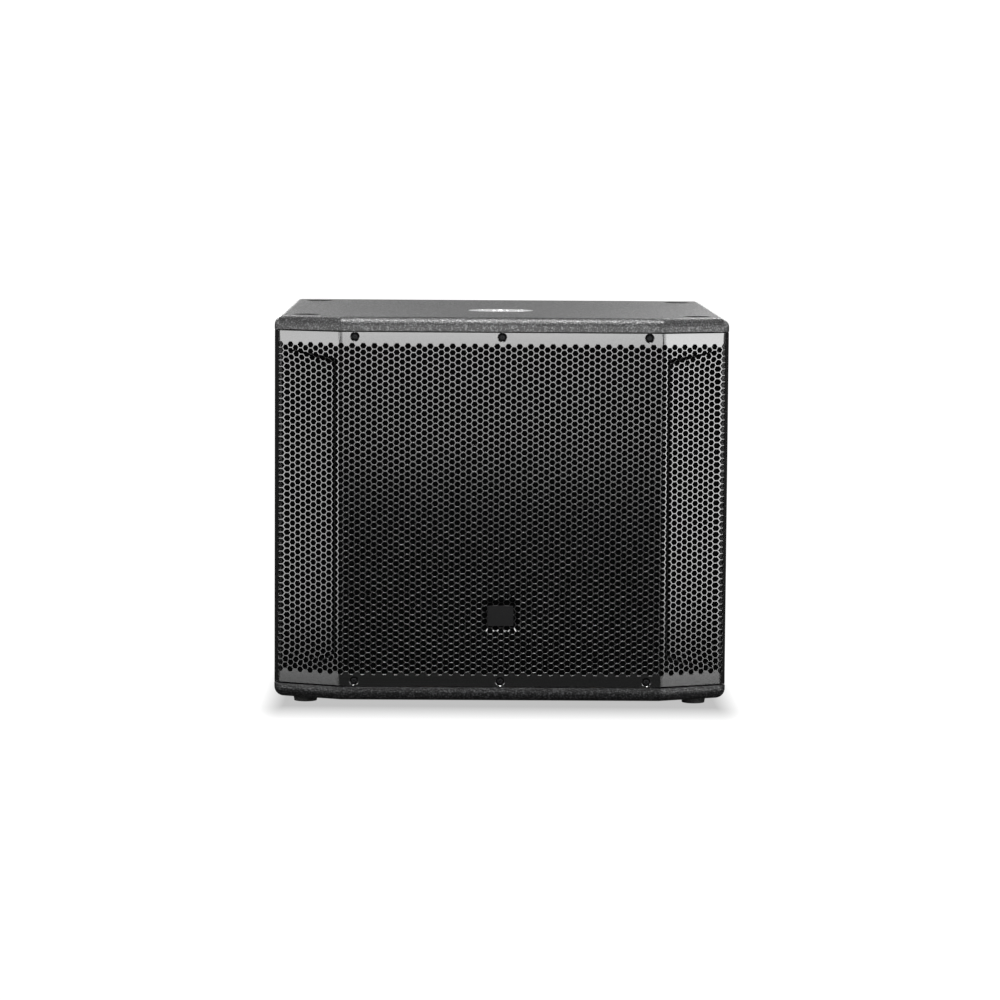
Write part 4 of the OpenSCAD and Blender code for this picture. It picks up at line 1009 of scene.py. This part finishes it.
def screwTree(rings):
    # a turned head with a six-lobed recess, on a short shank, set on every point
    tree, given, out = newTree("screws", [
        ("Shank Radius", "Float"), ("Shank Length", "Float"), ("Recess Radius", "Float"), ("Recess Depth", "Float"),
        ("Lobe Depth", "Float"), ("Material", "Material")])
    value = given.outputs
    disc = addNode(tree, "GeometryNodeMeshCircle", fill_type="NGON", inputs={"Vertices": 24})
    join(tree, (value["Shank Radius"], disc.inputs["Radius"]))
    shape, top = disc.outputs[0], None
    steps = [(value["Shank Length"], 1.0), (0.0, calc(tree, "DIVIDE", rings[0][0], value["Shank Radius"]))]
    for (r0, h0), (r1, h1) in zip(rings, rings[1:]):
        steps.append((h1 - h0, r1 / r0))
    steps.append((0.0, calc(tree, "DIVIDE", value["Recess Radius"], rings[-1][0])))
    for rise, ratio in steps:
        shape, top = growTop(tree, shape, top, rise, ratio)
    # the recess outline gets its lobes before it goes down
    place = addNode(tree, "GeometryNodeInputPosition")
    split = addNode(tree, "ShaderNodeSeparateXYZ")
    flat = addNode(tree, "ShaderNodeVectorMath", operation="MULTIPLY", inputs={1: (1, 1, 0)})
    move = addNode(tree, "ShaderNodeVectorMath", operation="SCALE")
    lobes = addNode(tree, "GeometryNodeSetPosition")
    angle = calc(tree, "ARCTAN2", split.outputs["Y"], split.outputs["X"])
    wave = calc(tree, "COSINE", calc(tree, "MULTIPLY", angle, 6.0))
    join(tree, (place.outputs[0], split.inputs[0]), (place.outputs[0], flat.inputs[0]),
         (flat.outputs[0], move.inputs[0]), (calc(tree, "MULTIPLY", wave, value["Lobe Depth"]), move.inputs["Scale"]),
         (move.outputs[0], lobes.inputs["Offset"]), (shape, lobes.inputs["Geometry"]),
         (top, lobes.inputs["Selection"]))
    shape, top = growTop(tree, lobes.outputs[0], top, value["Recess Depth"], screwSizes["recessTaper"])
    whole = closeUnder(tree, disc.outputs[0], shape, 0.0001)
    facing = addNode(tree, "GeometryNodeInputNamedAttribute", data_type="FLOAT_VECTOR", inputs={"Name": "facing"})
    width = addNode(tree, "GeometryNodeInputNamedAttribute", data_type="FLOAT", inputs={"Name": "headRadius"})
    turn = addNode(tree, "FunctionNodeAlignRotationToVector", axis="Z")
    join(tree, (facing.outputs[0], turn.inputs["Vector"]))
    copyOntoPoints(tree, given.outputs["Geometry"], whole, value["Material"], out,
                   rotation=turn.outputs[0], scale=width.outputs[0])
    return tree


def buildScrews():
    sizes = screwSizes
    trees = {shape: screwTree(rings) for shape, rings in screwShape.items()}
    for name, screws in screwSets.items():
        facing = Vector(screws["facing"])
        rise = screwShape[screws["shape"]][-1][1]
        points, widths = [], []
        for low, high in islandBoxes(screws["node"]):
            middle = (low + high) / 2
            if facing.x * middle.x < 0:
                continue
            half = [(high[i] - low[i]) / 2 for i in range(3) if facing[i] == 0][0]
            face = Vector([high[i] if facing[i] > 0 else low[i] if facing[i] < 0 else middle[i] for i in range(3)])
            points.append(face - facing * half * (sizes["shankLength"] + rise))
            widths.append(half)
        start = bpy.data.meshes.new(name + "Places")
        start.from_pydata(points, [], [])
        turned = start.attributes.new("facing", "FLOAT_VECTOR", "POINT")
        turned.data.foreach_set("vector", [*facing] * len(points))
        start.attributes.new("headRadius", "FLOAT", "POINT").data.foreach_set("value", widths)
        mesh = runTree(trees[screws["shape"]], name, {
            "Shank Radius": sizes["shankRadius"], "Shank Length": sizes["shankLength"],
            "Recess Radius": sizes["recessRadius"], "Recess Depth": -sizes["recessDepth"],
            "Lobe Depth": sizes["lobeDepth"], "Material": finishes[screws["finish"]]}, start)
        shadeByAngle(mesh, 38)
        makePiece(name, mesh, screws["finish"], stands=[screws["node"]])
    print("screws made")


buildScrews()

# Heat sink

heatSink = {"fins": 11, "finWidth": 2.4 * mm, "finInset": 2.0 * mm, "finSunk": 0.2 * mm, "baseGrow": 3.5 * mm,
            "baseThick": 6.0 * mm, "baseRound": 0.5 * mm, "steps": ((0.72, 0.86), (0.16, 0.86), (0.12, 0.55))}


def finTree():
    # tapered fins with rounded tips, in a row
    tree, given, out = newTree("coolingFins", [
        ("Fins", "Int"), ("Pitch", "Vector"), ("Fin Width", "Float"), ("Fin Length", "Float"),
        ("Fin Height", "Float"), ("Material", "Material")])
    value = given.outputs
    row = addNode(tree, "GeometryNodeMeshLine", mode="OFFSET")
    foot = addNode(tree, "GeometryNodeMeshGrid", inputs={"Vertices X": 2, "Vertices Y": 2})
    join(tree, (value["Fins"], row.inputs["Count"]), (value["Pitch"], row.inputs["Offset"]),
         (value["Fin Width"], foot.inputs["Size X"]), (value["Fin Length"], foot.inputs["Size Y"]))
    shape, top = foot.outputs[0], None
    for share, ratio in heatSink["steps"]:
        rise = calc(tree, "MULTIPLY", value["Fin Height"], share)
        shape, top = growTop(tree, shape, top, rise, ratio, scale_mode="SINGLE_AXIS", inputs={"Axis": (1, 0, 0)})
    whole = closeUnder(tree, foot.outputs[0], shape, 0.00001)
    copyOntoPoints(tree, row.outputs[0], whole, value["Material"], out)
    return tree


def buildHeatSink():
    low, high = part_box("heat_sink")
    finLow, finHigh = low.x + heatSink["baseGrow"], high.x - heatSink["baseGrow"]
    pitch = (finHigh - finLow - heatSink["finWidth"]) / (heatSink["fins"] - 1)
    baseTop = low.y + heatSink["baseThick"]
    height = high.y - baseTop
    length = high.z - low.z - 2 * heatSink["finInset"]
    mesh = runTree(finTree(), "coolingFins", {
        "Fins": heatSink["fins"], "Pitch": (pitch, 0, 0), "Fin Width": heatSink["finWidth"], "Fin Length": length,
        "Fin Height": height, "Material": finishes["amp_paint"]})
    bm = bmesh.new()
    bm.from_mesh(mesh)
    turn = Matrix(((1, 0, 0), (0, 0, 1), (0, -1, 0))).to_4x4()  # the fins grow backwards, out of the panel
    place = Vector((finLow + heatSink["finWidth"] / 2, baseTop - heatSink["finSunk"], (low.z + high.z) / 2))
    bmesh.ops.transform(bm, matrix=Matrix.Translation(place) @ turn, verts=bm.verts)
    base = bmesh.ops.create_cube(bm, size=1.0)["verts"]
    for vert in base:
        vert.co = Vector(((low.x + high.x) / 2 + vert.co.x * (high.x - low.x),
                          low.y + (vert.co.y + 0.5) * heatSink["baseThick"],
                          (low.z + high.z) / 2 + vert.co.z * (high.z - low.z)))
    edges = list({e for v in base for e in v.link_edges})
    bmesh.ops.bevel(bm, geom=edges, offset=heatSink["baseRound"], segments=2, affect="EDGES")
    sink = meshFrom(bm, "heatSink")
    shadeByArea(sink, 40)
    makePiece("heatSink", sink, "amp_paint", stands=["heat_sink"])
    print("heat sink made")


buildHeatSink()

# Printing on the rear panel, the knobs and the display

printing = {"thickness": 0.12 * mm, "line": 0.6 * mm, "ticks": 11, "sweep": 150, "tickFrom": 11.6 * mm,
            "tickTo": 14.2 * mm, "tickWidth": 0.7 * mm, "ruleBeyond": 6 * mm, "ruleAway": 5.5 * mm,
            "markWidth": 1.3 * mm, "markEnd": 0.86, "markSunk": 0.02 * mm}
screenLook = {"bars": 8, "barWidth": 2.6 * mm, "barPitch": 3.6 * mm, "blockHeight": 1.5 * mm, "blockGap": 0.6 * mm,
              "sideMargin": 10 * mm, "endMargin": 9 * mm, "lines": (22 * mm, 16 * mm, 19 * mm, 12 * mm),
              "linePitch": 5 * mm, "lineHeight": 1.4 * mm}


def addPrint(bm, centre, size, faceY, turn=0.0, corner=0.3):
    # a flat printed bar with rounded ends, standing just off a face that looks backwards
    halfW, halfH = size[0] / 2, size[1] / 2
    radius = corner * min(size)
    outline = []
    for sx, sz, start in ((1, 1, 0), (-1, 1, 90), (-1, -1, 180), (1, -1, 270)):
        for step in range(4):
            angle = math.radians(start + step * 30)
            outline.append((sx * (halfW - radius) + radius * math.cos(angle),
                            sz * (halfH - radius) + radius * math.sin(angle)))
    cosT, sinT = math.cos(turn), math.sin(turn)
    rings = []
    for y in (faceY, faceY + printing["thickness"]):
        rings.append([bm.verts.new((centre[0] + x * cosT - z * sinT, y, centre[1] + x * sinT + z * cosT))
                      for x, z in outline])
    count = len(outline)
    for i in range(count):
        j = (i + 1) % count
        bm.faces.new((rings[0][i], rings[0][j], rings[1][j], rings[1][i]))
    bm.faces.new(rings[1])
    bm.faces.new(list(reversed(rings[0])))


def finishPrint(bm, name, finish, material, body="cabinet"):
    bmesh.ops.recalc_face_normals(bm, faces=bm.faces)
    piece = makePiece(name, meshFrom(bm, name), finish, body)
    piece.data.materials.clear()
    piece.data.materials.append(material)


panelInk = paintedFinish("panelInk", {
    "dark": (0.55, 0.55, 0.54), "light": (0.72, 0.72, 0.70), "rough": (0.5, 0.7), "cloudScale": 80.0,
    "grainScale": 3000.0, "bump": 0.1, "bumpDepth": 0.00003})
screenGlow = litLens("screenGlow", {"dark": (0.25, 0.55, 0.75), "light": (0.45, 0.80, 0.95), "glow": 0.8})


def buildPrinting():
    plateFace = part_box("amp_plate")[1].y
    bm = bmesh.new()
    for knob in ("gain_knob_a", "gain_knob_b"):
        low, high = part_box(knob)
        for tick in range(printing["ticks"]):
            angle = math.radians(90 - printing["sweep"] + 2 * printing["sweep"] * tick / (printing["ticks"] - 1))
            middle = (printing["tickFrom"] + printing["tickTo"]) / 2
            centre = ((low.x + high.x) / 2 + middle * math.cos(angle),
                      (low.z + high.z) / 2 + middle * math.sin(angle))
            addPrint(bm, centre, (printing["tickTo"] - printing["tickFrom"], printing["tickWidth"]), plateFace, angle)
    inLow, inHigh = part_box("input_sockets")
    outLow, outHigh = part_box("output_sockets")
    left, right = min(inLow.x, outLow.x) - printing["ruleBeyond"], max(inHigh.x, outHigh.x) + printing["ruleBeyond"]
    for z in (inHigh.z + printing["ruleAway"], inLow.z - printing["ruleAway"]):  # above and below the two channels
        addPrint(bm, ((left + right) / 2, z), (right - left, printing["line"]), plateFace)
    finishPrint(bm, "panelPrinting", "amp_paint", panelInk)
    for knob, body, reach in (("gain_knob_a", "knob_a", 0.55), ("gain_knob_b", "knob_b", 0.55),
                              ("encoder_knob", "encoder_cap", 0.3)):
        low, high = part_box(knob)
        radius = (high.x - low.x) / 2
        bm = bmesh.new()
        centre = ((low.x + high.x) / 2, (low.z + high.z) / 2 + radius * (printing["markEnd"] - reach / 2))
        addPrint(bm, centre, (printing["markWidth"], radius * reach), high.y - printing["markSunk"])
        finishPrint(bm, knob.replace("_", "") + "Mark", "knob_black", panelInk, body)
    low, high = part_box("display_window")
    bm = bmesh.new()
    look = screenLook
    for bar in range(look["bars"]):
        x = high.x - look["sideMargin"] - bar * look["barPitch"]
        for block in range(2 + (bar * 5 + 3) % 7):  # 2 to 8 blocks, uneven from bar to bar
            z = low.z + look["endMargin"] + block * (look["blockHeight"] + look["blockGap"])
            addPrint(bm, (x, z), (look["barWidth"], look["blockHeight"]), high.y)
    for row, width in enumerate(look["lines"]):
        centre = (low.x + look["sideMargin"] + width / 2, high.z - look["endMargin"] - row * look["linePitch"])
        addPrint(bm, centre, (width, look["lineHeight"]), high.y)
    finishPrint(bm, "displayGraphics", "display_lens", screenGlow)
    print("printing made")


buildPrinting()

# Carried-over CAD nodes

slotOf = {part["node"]: part["material_slot"] for part in frame["record"]["subparts"]}
for name in ("top_panel", "bottom_panel", "left_side_panel", "right_side_panel", "back_panel"):
    makePiece(name.replace("_", "") + "Coated", smoothCopy(name), slotOf[name], stands=[name])

for name, obj in cadNodes.items():
    finish = finishes.get(slotOf[name])
    if finish is not None:
        obj.data.materials.clear()
        obj.data.materials.append(finish)
print("CAD nodes finished")


# Floor, light and camera

# the floor's contact shadow is painted: its darkest tone, the footprint it surrounds and how far it fades each way
floorLook = {"white": 1.08, "deepest": 0.53, "halfSize": (0.285, 0.285), "fade": (0.035, 0.13), "underside": 0.005}


def whiteFloor():
    # white to the camera with a painted soft contact shadow round the cabinet's footprint, and dark to everything
    # else so that black steel stays black
    material = bpy.data.materials.new("studioFloor")
    material.use_nodes = True
    tree = material.node_tree
    tree.nodes.clear()
    place = addNode(tree, "ShaderNodeTexCoord", (-1400, 0))
    split = addNode(tree, "ShaderNodeSeparateXYZ", (-1200, 0))
    join(tree, (place.outputs["Object"], split.inputs[0]))
    # painted shadow: darker inside a rounded box round the cabinet's footprint, fading outwards, set by position
    # alone
    squares = []
    for axis, half, fade in zip("XY", floorLook["halfSize"], floorLook["fade"]):
        outside = calc(tree, "SUBTRACT", calc(tree, "ABSOLUTE", split.outputs[axis]), half)
        squares.append(calc(tree, "POWER", calc(tree, "DIVIDE", calc(tree, "MAXIMUM", outside, 0.0), fade), 2.0))
    away = calc(tree, "SQRT", calc(tree, "ADD", squares[0], squares[1]))
    shade = remap(tree, away, 0.0, 1.0, floorLook["deepest"], floorLook["white"], (-500, 0))
    path = addNode(tree, "ShaderNodeLightPath", (-400, 200))
    pale = addNode(tree, "ShaderNodeEmission", (-200, 0))
    dim = addNode(tree, "ShaderNodeBsdfDiffuse", (-200, -200), inputs={"Color": (*[floorLook["underside"]] * 3, 1)})
    mix = addNode(tree, "ShaderNodeMixShader", (100, 0))
    output = addNode(tree, "ShaderNodeOutputMaterial", (300, 0))
    join(tree, (path.outputs["Is Camera Ray"], mix.inputs[0]), (dim.outputs[0], mix.inputs[1]),
         (shade, pale.inputs["Strength"]), (pale.outputs[0], mix.inputs[2]), (mix.outputs[0], output.inputs[0]))
    bm = bmesh.new()
    bmesh.ops.create_grid(bm, x_segments=2, y_segments=2, size=60.0)
    floor = bpy.data.objects.new("studioFloor", meshFrom(bm, "studioFloor"))
    bpy.context.scene.collection.objects.link(floor)
    floor.data.materials.append(material)
    floor.location.z = -0.3 * mm
    floor.visible_glossy = floor.visible_shadow = False  # the low ends of the softboxes still reach the wings


def studioWorld():
    world = bpy.data.worlds.new("studio")
    bpy.context.scene.world = world
    world.use_nodes = True
    tree = world.node_tree
    tree.nodes.clear()
    path = addNode(tree, "ShaderNodeLightPath", (-400, 200))
    seen = addNode(tree, "ShaderNodeBackground", (-200, 0), inputs={"Color": (1, 1, 1, 1), "Strength": 1.2})
    light = addNode(tree, "ShaderNodeBackground", (-200, -200), inputs={"Color": (1, 1, 1, 1), "Strength": 0.03})
    mix = addNode(tree, "ShaderNodeMixShader", (100, 0))
    output = addNode(tree, "ShaderNodeOutputWorld", (300, 0))
    join(tree, (path.outputs["Is Camera Ray"], mix.inputs[0]), (light.outputs[0], mix.inputs[1]),
         (seen.outputs[0], mix.inputs[2]), (mix.outputs[0], output.inputs[0]))


# each softbox: its middle, what it faces, width and height, power in watts
softboxes = {
    "overhead": {"at": (0.0, -0.58, 2.1), "aim": (0, -0.35, 0.3), "size": (0.8, 0.7), "power": 56},
    "front": {"at": (0.0, -1.35, 0.62), "aim": (0, 0, 0.58), "size": (0.9, 0.3), "power": 9.6},
    "frontLow": {"at": (0.0, -1.35, 0.35), "aim": (0, 0, 0.33), "size": (0.9, 0.24), "power": 2.5},
    "left": {"at": (-1.2, -1.12, 0.33), "aim": (-0.25, -0.27, 0.33), "size": (0.62, 0.80), "power": 10},
    "right": {"at": (1.2, -1.12, 0.33), "aim": (0.25, -0.27, 0.33), "size": (0.62, 0.80), "power": 13.7},
    "leftHigh": {"at": (-1.9, -0.3, 1.15), "aim": (-0.1, -0.3, 0.35), "size": (0.9, 0.9), "power": 20},
    "rightHigh": {"at": (1.9, -0.3, 1.15), "aim": (0.1, -0.3, 0.35), "size": (0.9, 0.9), "power": 20},
    "behind": {"at": (0.0, 3.0, 0.9), "aim": (0, 0, 0.55), "size": (3.0, 1.2), "power": 3.6},
    "backLeft": {"at": (-1.5, 2.85, 2.0), "aim": (0, 0.3, 0.25), "size": (1.5, 1.1), "power": 78},
    "backRight": {"at": (1.5, 2.85, 2.0), "aim": (0, 0.3, 0.25), "size": (1.5, 1.1), "power": 94},
}


def addSoftbox(name, box):
    light = bpy.data.lights.new(name, "AREA")
    light.shape = "RECTANGLE"
    light.size, light.size_y = box["size"]
    light.energy = box["power"]
    obj = bpy.data.objects.new(name, light)
    bpy.context.scene.collection.objects.link(obj)
    obj.location = box["at"]
    obj.rotation_euler = (Vector(box["aim"]) - Vector(box["at"])).to_track_quat("-Z", "Y").to_euler()
    obj.visible_camera = False


view = {
    "at": (-0.05175, -5.11247, 0.72181), "lens": 133.13,
    "right": (0.99993, -0.00978, 0.00669), "up": (-0.00576, 0.09256, 0.99569), "back": (-0.01036, -0.99566, 0.09250),
}


def addCamera():
    data = bpy.data.cameras.new("camera")
    data.lens = view["lens"]
    data.sensor_width = 36.0
    data.clip_end = 100.0
    camera = bpy.data.objects.new("camera", data)
    bpy.context.scene.collection.objects.link(camera)
    turn = Matrix((view["right"], view["up"], view["back"])).transposed().to_4x4()
    camera.matrix_world = Matrix.Translation(view["at"]) @ turn
    bpy.context.scene.camera = camera


whiteFloor()
studioWorld()
for boxName, box in softboxes.items():
    addSoftbox(boxName, box)
addCamera()
bpy.context.scene.view_settings.view_transform = "Standard"
print("stage ready")
